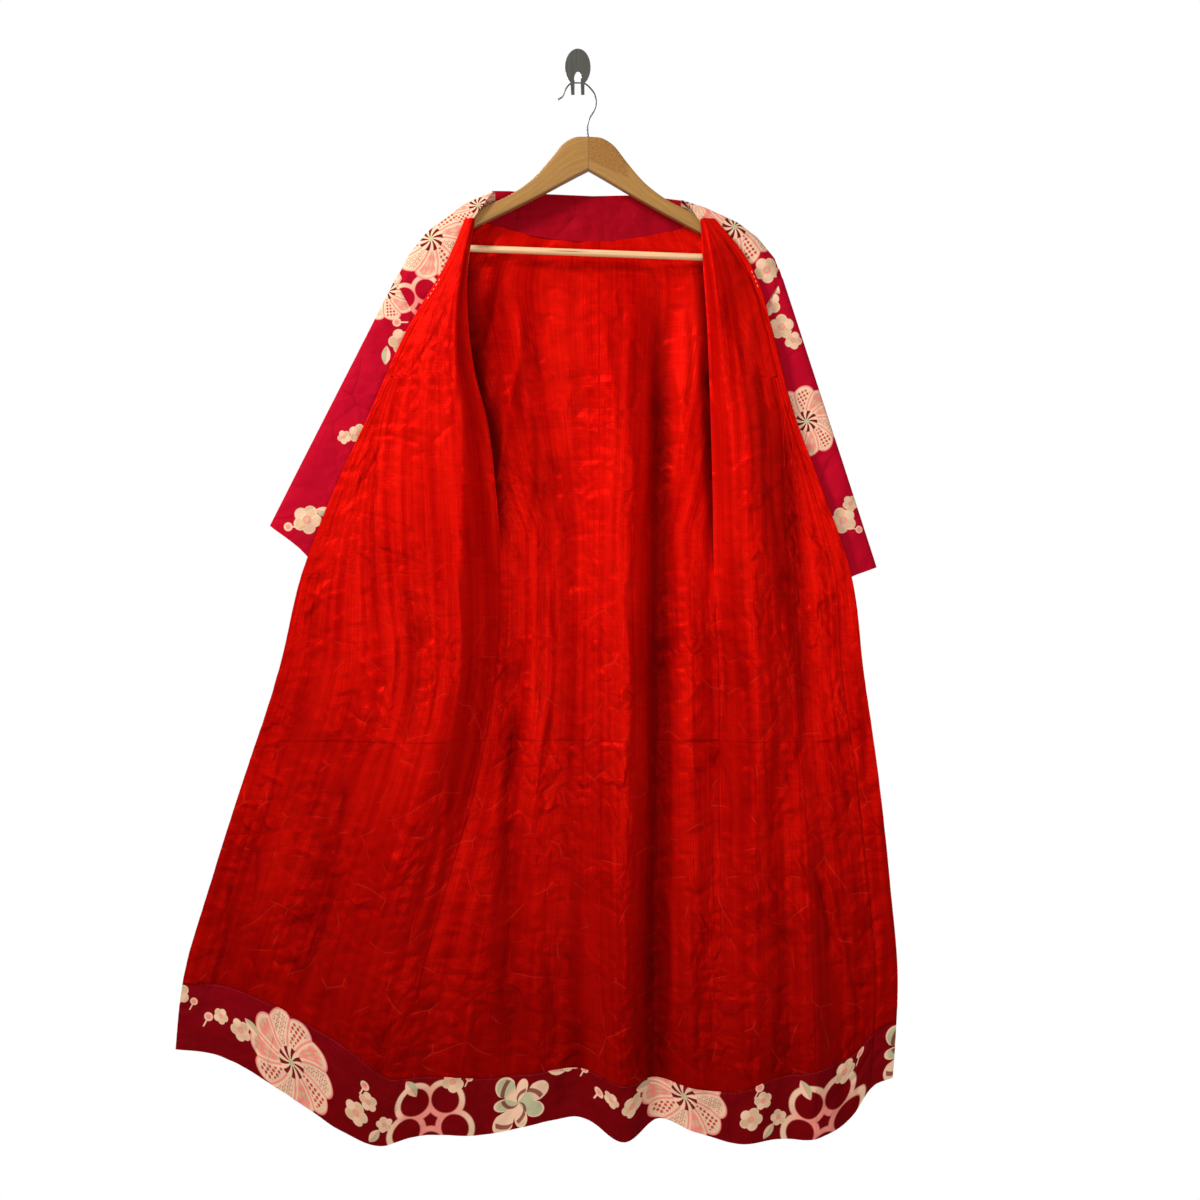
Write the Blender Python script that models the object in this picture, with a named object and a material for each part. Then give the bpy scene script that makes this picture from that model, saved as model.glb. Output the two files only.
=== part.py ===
"""Lined kimono hung on a wooden hanger from an oval wall hook, its fronts swung wide open.

The origin is the centre of the wall hook's back face, on the wall. +X is to the right as seen,
+Z is up and the garment hangs in front of the wall, towards -Y. Sizes are millimetres until
place() makes them metres.

Every body panel is a wall over one surface: a point has a place on the wall (x, z) and a depth,
its distance from the wall. The lining's face is that surface, and the outer cloth lies behind it.
"""

import math
from collections import namedtuple

import bmesh
import bpy
import numpy as np
from mathutils import Vector

MM = 0.001

# Cloth
LINING_WALL = 1.0
OUTER_WALL = 1.0
SEAM_GAP = 0.3
FOLDED_WALL = 1.2
MAX_STRETCH = 2.6

# Heights on the body, below the wall hook's centre
FRONT_TOP_Z = -240
OVERLAP_TOP_Z = -470
BACK_FREE_Z = -400
LINING_JOIN_Z = -1000
SIDE_SEAM_TOP_Z = -690

# Hanger
HANGER_X = 16
HANGER_DEPTH = 40
ARM_THICK = 18
BAR_RADIUS = 5
BAR_ENDS_X = (-192.2, 228.4)
BAR_ENDS_Z = (-277, -293)
WIRE_RADIUS = 1.2

# The wire's centre line where it is lowest over the prongs
WIRE_LOW_Z = -37.3

# Wall hook
PLATE_WIDTH = 38
PLATE_HEIGHT = 55
PLATE_THICK = 2.5
PLATE_FOOT_Z = -24
ARCH_TOP_Z = -6
ARCH_HALF = 6.4
PRONG_X = 7.4
PRONG_REACH = 47
PRONG_WIDTH = 5
PRONG_WALL = 2.2
PRONG_TIP = 7
PRONG_ROOT_Z = -19
PRONG_ROOT_DEPTH = 0.6

# Neckband across the back of the neck, and the seam at its foot
NECK_X = 22
NECK_LEFT_X = -120.6
NECK_RIGHT_X = 151.6
NECK_HALF = 158
NECK_SEAM_Z = -264
NECK_SEAM_BOW = 0.0011
NECK_SEAM_TOP_Z = -238
NECK_SEAM_DROP = 0.8
NECK_CROWN_Z = -199
NECK_CROWN_BOW = 0.0006
NECK_CROWN_RISE = 0.035
NECK_DEPTH = 25
NECK_ROLL = 3
NECK_WALL = 2.6

# Mesh fineness, in cells
BACK_TOP_ROWS = 3
LOWER_ROWS = 8
FACING_ROWS = 3
NECK_COLUMNS = 24
NECK_ROWS = 4
SHOULDER_COLUMNS = 9
SLEEVE_ROWS = 9
ARM_SIDES = 12
PLATE_SIDES = 28
ARCH_SIDES = 8
WIRE_STEPS = 4

Level = namedtuple(
    "Level",
    "z edge_left overlap_left side_left side_right overlap_right edge_right",
)
# One row for each height: where the front edges and the seams cross it.
LEVELS = (
    Level(-228, -158, -158, -146, 178, 190, 190),
    Level(-300, -188, -188, -158, 182, 248, 248),
    Level(-400, -246, -246, -158, 189, 283, 283),
    Level(-470, -279, -262, -148, 192, 282, 300),
    Level(-520, -301, -278, -135, 194, 293, 315),
    Level(-640, -357, -290, -120, 198, 300, 359),
    Level(-750, -400, -286, -115, 200, 308, 397),
    Level(-900, -437, -275, -120, 208, 318, 418),
    Level(-1060, -490, -318, -147, 208, 330, 441),
    Level(-1200, -535, -372, -187, 209, 338, 457),
    Level(-1350, -577, -422, -228, 211, 344, 470),
    Level(-1450, -588, -447, -250, 216, 346, 466),
    Level(-1600, -594, -470, -270, 224, 348, 452),
)
# The upper lining's rows of points, the same on every panel so that the seams match.
UPPER_HEIGHTS = (-290, -340, -400, -470, -540, -615, -690, -765, -840, -920, -1000)

CENTRE_X = 33
CENTRE_FOOT_SHIFT = 10

BackSide = namedtuple("BackSide", "z left right")
# Where the back panels end behind the fronts, above the side seams.
BACK_SIDES = (
    BackSide(-240, -196, 236),
    BackSide(-325, -258, 292),
    BackSide(-400, -236, 281),
    BackSide(-520, -196, 251),
    BackSide(-640, -146, 218),
    BackSide(-690, -118, 199),
)

Hem = namedtuple("Hem", "x z facing")
# The hem's edge as it hangs, and the height of the facing above it.
HEM = (
    Hem(-590, -1450, 97),
    Hem(-525, -1460, 100),
    Hem(-437, -1505, 106),
    Hem(-341, -1564, 115),
    Hem(-283, -1586, 100),
    Hem(-247, -1575, 90),
    Hem(-137, -1573, 82),
    Hem(-34, -1553, 72),
    Hem(14, -1551, 72),
    Hem(69, -1580, 84),
    Hem(118, -1552, 60),
    Hem(172, -1567, 64),
    Hem(232, -1583, 76),
    Hem(284, -1577, 88),
    Hem(352, -1575, 100),
    Hem(406, -1544, 92),
    Hem(430, -1509, 84),
    Hem(462, -1494, 84),
)

Depths = namedtuple("Depths", "z back side crest_left edge_left crest_right edge_right")
# How far each part of the body stands off the wall at each height.
DEPTHS = (
    Depths(-228, 25, 58, 64, 62, 64, 62),
    Depths(-300, 25, 58, 78, 64, 74, 62),
    Depths(-400, 24, 54, 86, 64, 78, 62),
    Depths(-520, 24, 44, 86, 60, 78, 60),
    Depths(-640, 26, 34, 80, 57, 74, 58),
    Depths(-750, 30, 28, 73, 54, 68, 54),
    Depths(-900, 36, 28, 65, 48, 62, 48),
    Depths(-1060, 42, 34, 60, 44, 56, 44),
    Depths(-1200, 46, 42, 58, 42, 54, 40),
    Depths(-1350, 48, 47, 56, 40, 54, 36),
    Depths(-1600, 50, 50, 56, 38, 54, 34),
)
CREST_SHARE = 0.2
BACK_SIDE_REACH = 32
BACK_RECESS = 7

Fold = namedtuple("Fold", "name top_x top_z foot_x foot_z rise half_width")
# The largest folds: a ridge where rise is above 0, a hollow where it is below.
FOLDS = (
    Fold("left hem ridge", -225, -930, -283, -1590, 17, 60),
    Fold("left overlap fold", -282, -740, -440, -1420, -7, 20),
    Fold("left edge trough", -352, -640, -528, -1400, -6, 26),
    Fold("upper back ridge", -110, -330, -146, -500, 9, 20),
    Fold("second back ridge", -82, -350, -118, -640, 7, 18),
    Fold("left back valley", -98, -700, -92, -1500, -14, 24),
    Fold("centre left hollow", -34, -560, -14, -1590, -14, 34),
    Fold("centre ridge", 62, -440, 66, -1590, 17, 34),
    Fold("right back valley", 124, -330, 114, -1590, -17, 24),
    Fold("right back ridge", 163, -430, 172, -1590, 8, 24),
    Fold("right front ridge", 252, -520, 250, -1590, 13, 38),
    Fold("right front valley", 298, -520, 378, -1440, -11, 22),
    Fold("right hem ridge", 345, -1000, 352, -1590, 14, 34),
)
FOLD_FADE = 90

ShoulderRow = namedtuple("ShoulderRow", "x z front_x front_z")
# The shoulder's outline, from neck to armhole, and where its cloth ends under the front.
SHOULDER_LEFT = (
    ShoulderRow(-121, -194, -134, -214),
    ShoulderRow(-163, -211, -150, -236),
    ShoulderRow(-195, -234, -172, -270),
    ShoulderRow(-221, -254, -190, -300),
    ShoulderRow(-248, -288, -208, -345),
    ShoulderRow(-267, -325, -226, -400),
)
SHOULDER_RIGHT = (
    ShoulderRow(152, -207, 166, -224),
    ShoulderRow(187, -218, 180, -244),
    ShoulderRow(235, -240, 206, -276),
    ShoulderRow(264, -262, 224, -306),
    ShoulderRow(289, -292, 240, -350),
    ShoulderRow(300, -322, 254, -400),
)
SHOULDER_BACK_LAP = 44
SHOULDER_FRONT_DEPTH = (54, 50)
SHOULDER_BACK_DEPTH = 20.8
SHOULDER_ROUNDING = 16

SleeveRow = namedtuple("SleeveRow", "run armhole_x armhole_z cuff_x cuff_z")
# A sleeve from its top fold (run 0) to its bottom (run 1), at the armhole and at the cuff.
SLEEVE_LEFT = (
    SleeveRow(0.00, -267.1, -325.3, -451, -684),
    SleeveRow(0.10, -248, -370, -405, -719),
    SleeveRow(0.25, -224, -440, -368, -775),
    SleeveRow(0.55, -202, -600, -346, -905),
    SleeveRow(1.00, -192, -790, -338, -1120),
)
SLEEVE_RIGHT = (
    SleeveRow(0.00, 300.1, -322.3, 439, -745),
    SleeveRow(0.10, 280, -366, 396, -762),
    SleeveRow(0.25, 262, -436, 366, -800),
    SleeveRow(0.55, 246, -596, 350, -925),
    SleeveRow(1.00, 236, -790, 340, -1130),
)
# The sleeves' mid depth at four heights: they lie between the fronts and the wall.
SLEEVE_HEIGHTS = (-1130, -780, -600, -325)
SLEEVE_MID_DEPTHS = (24, 33, 39, 43)
SLEEVE_HALF = 7
SLEEVE_DROP = 480
SLEEVE_ROUNDING = 14

ArmRow = namedtuple("ArmRow", "reach top low")
# A hanger arm from the centre joint to its tip, hidden in the shoulder.
ARM = (
    ArmRow(0, -117, -164),
    ArmRow(22, -119, -170),
    ArmRow(38, -128, -178),
    ArmRow(54, -149, -188),
    ArmRow(78, -178, -202),
    ArmRow(110, -202, -222),
    ArmRow(150, -222, -242),
    ArmRow(185, -243, -262),
    ArmRow(205, -250, -276),
)
ARM_TIP_REACH = 221
ARM_TIP_LOW = -288
ARM_TIP_THICK = 12
# How far the tip's crown lies inside the outline of the cloth that it carries.
ARM_TIP_CLEAR = 6.25
ARM_TILT = 0.03

WireTurn = namedtuple("WireTurn", "x z")
# The wire hook from its seat in the wood, over the wall hook's prongs, to its free end.
WIRE = (
    WireTurn(16, -117.1),
    WireTurn(15, -104),
    WireTurn(16, -91),
    WireTurn(22, -81),
    WireTurn(27, -72),
    WireTurn(27, -62),
    WireTurn(23, -49),
    WireTurn(12, -37.8),
    WireTurn(1, -36.2),
    WireTurn(-10, -37.2),
    WireTurn(-17, -45),
    WireTurn(-22, -56),
    WireTurn(-29, -61),
)

Finish = namedtuple("Finish", "name colour roughness metallic")
CRIMSON = Finish("crimson silk", (0.42, 0.008, 0.03, 1), 0.55, 0)
RED = Finish("red lining silk", (0.62, 0.012, 0.005, 1), 0.45, 0)
BEECH = Finish("varnished wood", (0.55, 0.33, 0.14, 1), 0.4, 0)
WIRE_STEEL = Finish("bright wire", (0.6, 0.6, 0.6, 1), 0.25, 1)
PLATE_STEEL = Finish("grey brushed metal", (0.13, 0.125, 0.11, 1), 0.45, 1)


def clear_scene():
    for thing in list(bpy.data.objects):
        bpy.data.objects.remove(thing, do_unlink=True)


def material(finish):
    made = bpy.data.materials.get(finish.name)
    if made:
        return made
    made = bpy.data.materials.new(finish.name)
    made.use_nodes = True
    shader = made.node_tree.nodes["Principled BSDF"]
    shader.inputs["Base Color"].default_value = finish.colour
    shader.inputs["Roughness"].default_value = finish.roughness
    shader.inputs["Metallic"].default_value = finish.metallic
    made.diffuse_color = finish.colour
    return made


def place(x, z, depth):
    """A point at x, z on the wall and this far in front of it, in metres."""
    return Vector((x * MM, -depth * MM, z * MM))


def smoothstep(low, high, value):
    share = np.clip((value - low) / (high - low), 0, 1)
    return share * share * (3 - 2 * share)


def read(table, key, column, at):
    """A smooth curve through one column of a table, read where its key column has this value."""
    rows = sorted(table, key=lambda row: getattr(row, key))
    keys = np.array([getattr(row, key) for row in rows], float)
    values = np.array([getattr(row, column) for row in rows], float)
    slopes = np.gradient(values, keys)
    at = np.clip(at, keys[0], keys[-1])
    i = int(np.clip(np.searchsorted(keys, at) - 1, 0, len(keys) - 2))
    span = keys[i + 1] - keys[i]
    t = (at - keys[i]) / span
    ease = t * t * (3 - 2 * t)
    start = t * (1 - t) ** 2
    end = -t * t * (1 - t)
    return (
        values[i] * (1 - ease)
        + values[i + 1] * ease
        + span * (slopes[i] * start + slopes[i + 1] * end)
    )


def collar_width(z):
    """The folded neckband's width where it lies along a front's edge."""
    return 9 + 24 * smoothstep(-500, -950, z)


def line(name, z):
    """The x of one of the body's seams or edges at this height."""
    if name == "centre":
        return CENTRE_X + CENTRE_FOOT_SHIFT * smoothstep(-1300, -1600, z)
    if name == "collar_left":
        return read(LEVELS, "z", "edge_left", z) + collar_width(z)
    if name == "collar_right":
        return read(LEVELS, "z", "edge_right", z) - collar_width(z)
    if name == "front_left_edge":
        return max(line("collar_left", z), line("overlap_left", z))
    if name == "front_right_edge":
        return min(line("collar_right", z), line("overlap_right", z))
    if name == "back_left":
        if z <= SIDE_SEAM_TOP_Z:
            return read(LEVELS, "z", "side_left", z)
        return read(BACK_SIDES, "z", "left", z)
    if name == "back_right":
        if z <= SIDE_SEAM_TOP_Z:
            return read(LEVELS, "z", "side_right", z)
        return read(BACK_SIDES, "z", "right", z)
    return read(LEVELS, "z", name, z)


def back_top(x):
    """The collar's seam across the back, which drops to the shoulders at its ends."""
    bowed = NECK_SEAM_Z + NECK_SEAM_BOW * (x - NECK_X) ** 2
    drop = NECK_SEAM_DROP * max(0, abs(x - NECK_X) - NECK_HALF)
    return min(bowed, NECK_SEAM_TOP_Z) - drop


def folds(x, z):
    """What the largest folds add to the depth."""
    total = 0
    for fold in FOLDS:
        share = (fold.top_z - z) / (fold.top_z - fold.foot_z)
        axis = fold.top_x + (fold.foot_x - fold.top_x) * np.clip(share, 0, 1)
        fade_in = smoothstep(fold.top_z + FOLD_FADE, fold.top_z - FOLD_FADE, z)
        fade_out = smoothstep(fold.foot_z - FOLD_FADE, fold.foot_z + FOLD_FADE, z)
        total += fold.rise * fade_in * fade_out * math.exp(-(((x - axis) / fold.half_width) ** 2))
    return total


def back_depth(x, z):
    """The depth of the back's lining."""
    base = read(DEPTHS, "z", "back", z)
    side = read(DEPTHS, "z", "side", z)
    joined = smoothstep(SIDE_SEAM_TOP_Z, SIDE_SEAM_TOP_Z - 100, z)
    tucked = smoothstep(BACK_FREE_Z, BACK_FREE_Z - 80, z) * (1 - joined)
    left = x - line("side_left", z)
    right = line("side_right", z) - x
    near = math.exp(-((max(0, min(left, right)) / BACK_SIDE_REACH) ** 2))
    behind = BACK_RECESS * tucked * smoothstep(15, -10, min(left, right))
    return base + (side - base) * near * joined - behind + folds(x, z) * hidden(left, right)


def hidden(left, right):
    """1 where the back shows, falling to 0 where it runs on behind a front."""
    return float(smoothstep(-25, 0, min(left, right)))


def front_depth(hand, x, z):
    """The depth of a front's lining: a crest beside the side seam, sloping away to the edge."""
    side_x = line("side_" + hand, z)
    edge_x = line("edge_" + hand, z)
    share = np.clip((x - side_x) / (edge_x - side_x), 0, 1)
    side = read(DEPTHS, "z", "side", z)
    crest = read(DEPTHS, "z", "crest_" + hand, z)
    edge = read(DEPTHS, "z", "edge_" + hand, z)
    rise = smoothstep(0, CREST_SHARE, share)
    fall = smoothstep(CREST_SHARE, 1, share)
    calm = smoothstep(-330, -480, z)
    return side + (crest - side) * rise + (edge - crest) * fall + folds(x, z) * calm


Panel = namedtuple("Panel", "name left right columns top kind")
COLLARS = (
    Panel("collar_left", "edge_left", "collar_left", 2, FRONT_TOP_Z, "left"),
    Panel("collar_right", "collar_right", "edge_right", 2, FRONT_TOP_Z, "right"),
)
PANELS = (
    Panel("overlap_left", "collar_left", "overlap_left", 5, OVERLAP_TOP_Z, "left"),
    Panel("front_left", "front_left_edge", "side_left", 7, FRONT_TOP_Z, "left"),
    Panel("back_left", "back_left", "centre", 8, None, "back"),
    Panel("back_right", "centre", "back_right", 8, None, "back"),
    Panel("front_right", "side_right", "front_right_edge", 7, FRONT_TOP_Z, "right"),
    Panel("overlap_right", "overlap_right", "collar_right", 5, OVERLAP_TOP_Z, "right"),
)


def across(panel, share, z):
    """The x at this share of a panel's width, clear of the neighbouring pieces."""
    left = line(panel.left, z) + SEAM_GAP / 2
    right = line(panel.right, z) - SEAM_GAP / 2
    return left + (right - left) * share


def depth(panel, x, z):
    if panel.kind == "back":
        return back_depth(x, z)
    return front_depth(panel.kind, x, z)


def hem_z(panel, share):
    """The height of the hem at this share of a panel's width."""
    z = -1540
    for _ in range(8):
        z = read(HEM, "x", "z", across(panel, share, z))
    return z


def upper_heights(panel, share):
    """The heights of a column's points down the upper lining."""
    if panel.top is not None:
        heights = [z for z in UPPER_HEIGHTS if z < panel.top]
        return [panel.top] + heights[:-1] + [LINING_JOIN_Z + SEAM_GAP / 2]
    top = FRONT_TOP_Z
    for _ in range(8):
        top = back_top(across(panel, share, top))
    free = list(np.linspace(top, BACK_FREE_Z, BACK_TOP_ROWS + 1))
    heights = [z for z in UPPER_HEIGHTS if z < BACK_FREE_Z]
    return free + heights[:-1] + [LINING_JOIN_Z + SEAM_GAP / 2]


def row_heights(panel, share, stretch):
    """The heights of a column's points through one stretch: upper, lower or facing."""
    foot = hem_z(panel, share)
    facing_top = foot + read(HEM, "x", "facing", across(panel, share, foot))
    if stretch == "upper":
        return upper_heights(panel, share)
    if stretch == "lower":
        low = facing_top + SEAM_GAP / 2
        return np.linspace(LINING_JOIN_Z - SEAM_GAP / 2, low, LOWER_ROWS + 1)
    return np.linspace(facing_top - SEAM_GAP / 2, foot, FACING_ROWS + 1)


def stretch_factor(panel, x, z):
    """How much deeper a wall is, measured square to the wall, where the cloth slopes."""
    step = 3
    slope_x = (depth(panel, x + step, z) - depth(panel, x - step, z)) / (2 * step)
    slope_z = (depth(panel, x, z + step) - depth(panel, x, z - step)) / (2 * step)
    return min(MAX_STRETCH, math.sqrt(1 + slope_x**2 + slope_z**2))


def panel_points(panel, stretches):
    """Rows of (x, z, depth, stretch factor) down a panel, one row of columns at a time."""
    columns = []
    for i in range(panel.columns + 1):
        share = i / panel.columns
        heights = []
        for stretch in stretches:
            own = list(row_heights(panel, share, stretch))
            heights += own[1:] if heights else own
        column = []
        for z in heights:
            x = across(panel, share, z)
            column.append((x, z, depth(panel, x, z), stretch_factor(panel, x, z)))
        columns.append(column)
    return columns


def wall_mesh(name, front, back, finish, ring=False):
    """A closed wall between two grids of points; a ring's last column meets its first."""
    columns = len(front)
    rows = len(front[0])
    shaped = bmesh.new()
    faces = []
    grids = [[[shaped.verts.new(p) for p in column] for column in grid] for grid in (front, back)]
    last = columns if ring else columns - 1
    for i in range(last):
        j = (i + 1) % columns
        for k in range(rows - 1):
            for side, flip in ((0, False), (1, True)):
                a, b = grids[side][i][k], grids[side][j][k]
                c, d = grids[side][j][k + 1], grids[side][i][k + 1]
                faces += [quad[::-1] if flip else quad for quad in ((a, d, c), (a, c, b))]
        for k, flip in ((0, False), (rows - 1, True)):
            a, b = grids[0][i][k], grids[0][j][k]
            c, d = grids[1][j][k], grids[1][i][k]
            faces += [quad[::-1] if flip else quad for quad in ((a, b, c), (a, c, d))]
    if not ring:
        for i, flip in ((0, True), (columns - 1, False)):
            for k in range(rows - 1):
                a, b = grids[0][i][k], grids[0][i][k + 1]
                c, d = grids[1][i][k + 1], grids[1][i][k]
                faces += [quad[::-1] if flip else quad for quad in ((a, d, c), (a, c, b))]
    for face in faces:
        shaped.faces.new(face)
    bmesh.ops.recalc_face_normals(shaped, faces=shaped.faces)
    return finish_object(name, shaped, finish)


def finish_object(name, shaped, finish):
    mesh = bpy.data.meshes.new(name)
    shaped.to_mesh(mesh)
    shaped.free()
    mesh.materials.append(material(finish))
    made = bpy.data.objects.new(name, mesh)
    bpy.context.collection.objects.link(made)
    return made


def cloth_wall(name, columns, near, far, finish):
    """The wall of cloth from `near` to `far` millimetres behind the lining's face."""
    front = [[place(x, z, d - near * f) for x, z, d, f in column] for column in columns]
    back = [[place(x, z, d - far * f) for x, z, d, f in column] for column in columns]
    return wall_mesh(name, front, back, finish)


def make_panels():
    """Each panel's lining in three stretches, and the outer cloth behind them in one."""
    outer_near = LINING_WALL + SEAM_GAP
    for panel in PANELS:
        for stretch, finish in (("upper", RED), ("lower", RED), ("facing", CRIMSON)):
            part = "hem_facing" if stretch == "facing" else stretch + "_lining"
            points = panel_points(panel, (stretch,))
            cloth_wall(part + "_" + panel.name, points, 0, LINING_WALL, finish)
        points = panel_points(panel, ("upper", "lower", "facing"))
        cloth_wall(panel.name, points, outer_near, outer_near + OUTER_WALL, CRIMSON)


def make_collar_fronts():
    """The neckband down each front's edge, as thick as the lining and outer cloth it holds."""
    thick = LINING_WALL + SEAM_GAP + OUTER_WALL
    for band in COLLARS:
        points = panel_points(band, ("upper", "lower", "facing"))
        cloth_wall(band.name, points, 0, thick, CRIMSON)


def make_collar_back():
    """The neckband across the back of the neck, standing up from the back's seam."""
    columns = []
    for i in range(NECK_COLUMNS + 1):
        along = i / NECK_COLUMNS
        x = NECK_LEFT_X + (NECK_RIGHT_X - NECK_LEFT_X) * along
        low = back_top(x) + 2 * SEAM_GAP
        off = abs(x - NECK_X)
        crown = NECK_CROWN_Z - NECK_CROWN_BOW * off**2 + NECK_CROWN_RISE * off
        column = []
        for k in range(NECK_ROWS + 1):
            share = 1 - k / NECK_ROWS
            z = low + (crown - low) * share
            roll = NECK_ROLL * share * share * (1 - abs(2 * along - 1) ** 3)
            column.append((x, z, NECK_DEPTH - roll, 1))
        columns.append(column)
    cloth_wall("collar_back", columns, 0, NECK_WALL, CRIMSON)


def rounded(run, reach):
    """A fold's profile: 0 at the fold, 1 once it is `reach` away."""
    return math.sqrt(np.clip(run / reach, 0, 1))


def make_shoulder(hand, rows):
    """The body's cloth over the hanger's end: up the back, round the outline, down in front."""
    steps = (1, 0.6, 0.3, 0.1, 0)
    outer, inner = [], []
    for i in range(SHOULDER_COLUMNS + 1):
        share = i / SHOULDER_COLUMNS
        at = share * (len(rows) - 1)
        low = min(int(at), len(rows) - 2)
        mix = at - low
        x, z, front_x, front_z = (
            a + (b - a) * mix for a, b in zip(rows[low], rows[low + 1])
        )
        back_x, back_z = x, z - SHOULDER_BACK_LAP
        front_depth_here = np.interp(share, (0, 1), SHOULDER_FRONT_DEPTH)
        middle = (front_depth_here + SHOULDER_BACK_DEPTH) / 2
        outer_column, inner_column = [], []
        for end_x, end_z, end_depth, stops in (
            (back_x, back_z, SHOULDER_BACK_DEPTH, steps),
            (front_x, front_z, front_depth_here, steps[-2::-1]),
        ):
            length = math.hypot(end_x - x, end_z - z)
            sign = 1 if end_depth > middle else -1
            for stop in stops:
                run = stop * length
                half = abs(end_depth - middle) * rounded(run, SHOULDER_ROUNDING)
                outer_column.append(
                    place(x + (end_x - x) * stop, z + (end_z - z) * stop, middle + sign * half)
                )
                run_in = max(run, FOLDED_WALL)
                half_in = max(0, half - FOLDED_WALL)
                inner_column.append(
                    place(
                        x + (end_x - x) * run_in / length,
                        z + (end_z - z) * run_in / length,
                        middle + sign * half_in,
                    )
                )
        outer.append(outer_column)
        inner.append(inner_column)
    wall_mesh("shoulder_" + hand, outer, inner, CRIMSON)


def make_sleeve(hand, rows):
    """A sleeve: a flat tube, open at the cuff and at the body side."""
    runs = (0, 0.02, 0.06, 0.14, 0.28, 0.45, 0.65, 0.85, 0.96, 1)
    outer, inner = [], []
    ring = [(run, 1) for run in runs] + [(run, -1) for run in runs[-2:0:-1]]
    for run, sign in ring:
        armhole = [read(rows, "run", c, run) for c in ("armhole_x", "armhole_z")]
        cuff = [read(rows, "run", c, run) for c in ("cuff_x", "cuff_z")]
        run_in = np.clip(run, FOLDED_WALL / SLEEVE_DROP, 1 - FOLDED_WALL / SLEEVE_DROP)
        armhole_in = [read(rows, "run", c, run_in) for c in ("armhole_x", "armhole_z")]
        cuff_in = [read(rows, "run", c, run_in) for c in ("cuff_x", "cuff_z")]
        top_run = run * SLEEVE_DROP
        half = SLEEVE_HALF * min(
            rounded(top_run, SLEEVE_ROUNDING), rounded(SLEEVE_DROP - top_run, SLEEVE_ROUNDING)
        )
        half_in = max(0.0, half - FOLDED_WALL)
        outer_column, inner_column = [], []
        for k in range(SLEEVE_ROWS + 1):
            share = k / SLEEVE_ROWS
            x = armhole[0] + (cuff[0] - armhole[0]) * share
            z = armhole[1] + (cuff[1] - armhole[1]) * share
            middle = np.interp(z, SLEEVE_HEIGHTS, SLEEVE_MID_DEPTHS)
            outer_column.append(place(x, z, middle + sign * half))
            x = armhole_in[0] + (cuff_in[0] - armhole_in[0]) * share
            z = armhole_in[1] + (cuff_in[1] - armhole_in[1]) * share
            inner_column.append(place(x, z, middle + sign * half_in))
        outer.append(outer_column)
        inner.append(inner_column)
    wall_mesh("sleeve_" + hand, outer, inner, CRIMSON, ring=True)


def loft(name, rings, finish):
    """A closed solid through rings of points, with flat ends."""
    shaped = bmesh.new()
    loops = [[shaped.verts.new(p) for p in ring] for ring in rings]
    count = len(loops[0])
    for low, high in zip(loops, loops[1:]):
        for i in range(count):
            j = (i + 1) % count
            shaped.faces.new((low[i], low[j], high[j], high[i]))
    shaped.faces.new(loops[0][::-1])
    shaped.faces.new(loops[-1])
    bmesh.ops.recalc_face_normals(shaped, faces=shaped.faces)
    return finish_object(name, shaped, finish)


def arm_tilt(reach, facing):
    """The hanger hangs a little lower on the right."""
    return -ARM_TILT * reach * facing


def make_arm(hand):
    """One half of the hanger: flat wood with rounded edges, from the centre joint to its tip."""
    facing = -1 if hand == "left" else 1
    shoulder = SHOULDER_LEFT if hand == "left" else SHOULDER_RIGHT
    sections = []
    for row in ARM:
        tilt = arm_tilt(row.reach, facing)
        thick = ARM_THICK - 4 * row.reach / ARM[-1].reach
        sections.append((row.reach, row.top + tilt, row.low + tilt, thick))
    crown = read(shoulder, "x", "z", HANGER_X + facing * ARM_TIP_REACH) - ARM_TIP_CLEAR
    tilt = arm_tilt(ARM_TIP_REACH, facing)
    sections.append((ARM_TIP_REACH, crown, ARM_TIP_LOW + tilt, ARM_TIP_THICK))
    rings = []
    for reach, top, low, thick in sections:
        x = HANGER_X + facing * (reach + SEAM_GAP / 2)
        ring = []
        for i in range(ARM_SIDES):
            turn = 2 * math.pi * (i + 0.5) / ARM_SIDES
            cos, sin = math.cos(turn), math.sin(turn)
            wide = math.copysign(abs(cos) ** 0.6, cos) * thick / 2
            tall = math.copysign(abs(sin) ** 0.6, sin) * (top - low) / 2
            ring.append(place(x, (top + low) / 2 + tall, HANGER_DEPTH + wide))
        rings.append(ring)
    return loft("hanger_arm_" + hand, rings, BEECH)


def make_bar():
    """The trouser bar, a round rod between the two arms' ends."""
    left, right = BAR_ENDS_X
    left_z, right_z = BAR_ENDS_Z
    made = bpy.data.meshes.new("hanger_bar")
    shaped = bmesh.new()
    bmesh.ops.create_cone(
        shaped,
        cap_ends=True,
        segments=12,
        radius1=BAR_RADIUS * MM,
        radius2=BAR_RADIUS * MM,
        depth=math.hypot(right - left, right_z - left_z) * MM,
    )
    shaped.to_mesh(made)
    shaped.free()
    made.materials.append(material(BEECH))
    bar = bpy.data.objects.new("hanger_bar", made)
    bpy.context.collection.objects.link(bar)
    bar.location = place((left + right) / 2, (left_z + right_z) / 2, HANGER_DEPTH)
    tilt = math.atan2(right_z - left_z, right - left)
    bar.rotation_euler = (0, math.pi / 2 - tilt, 0)
    return bar


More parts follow.
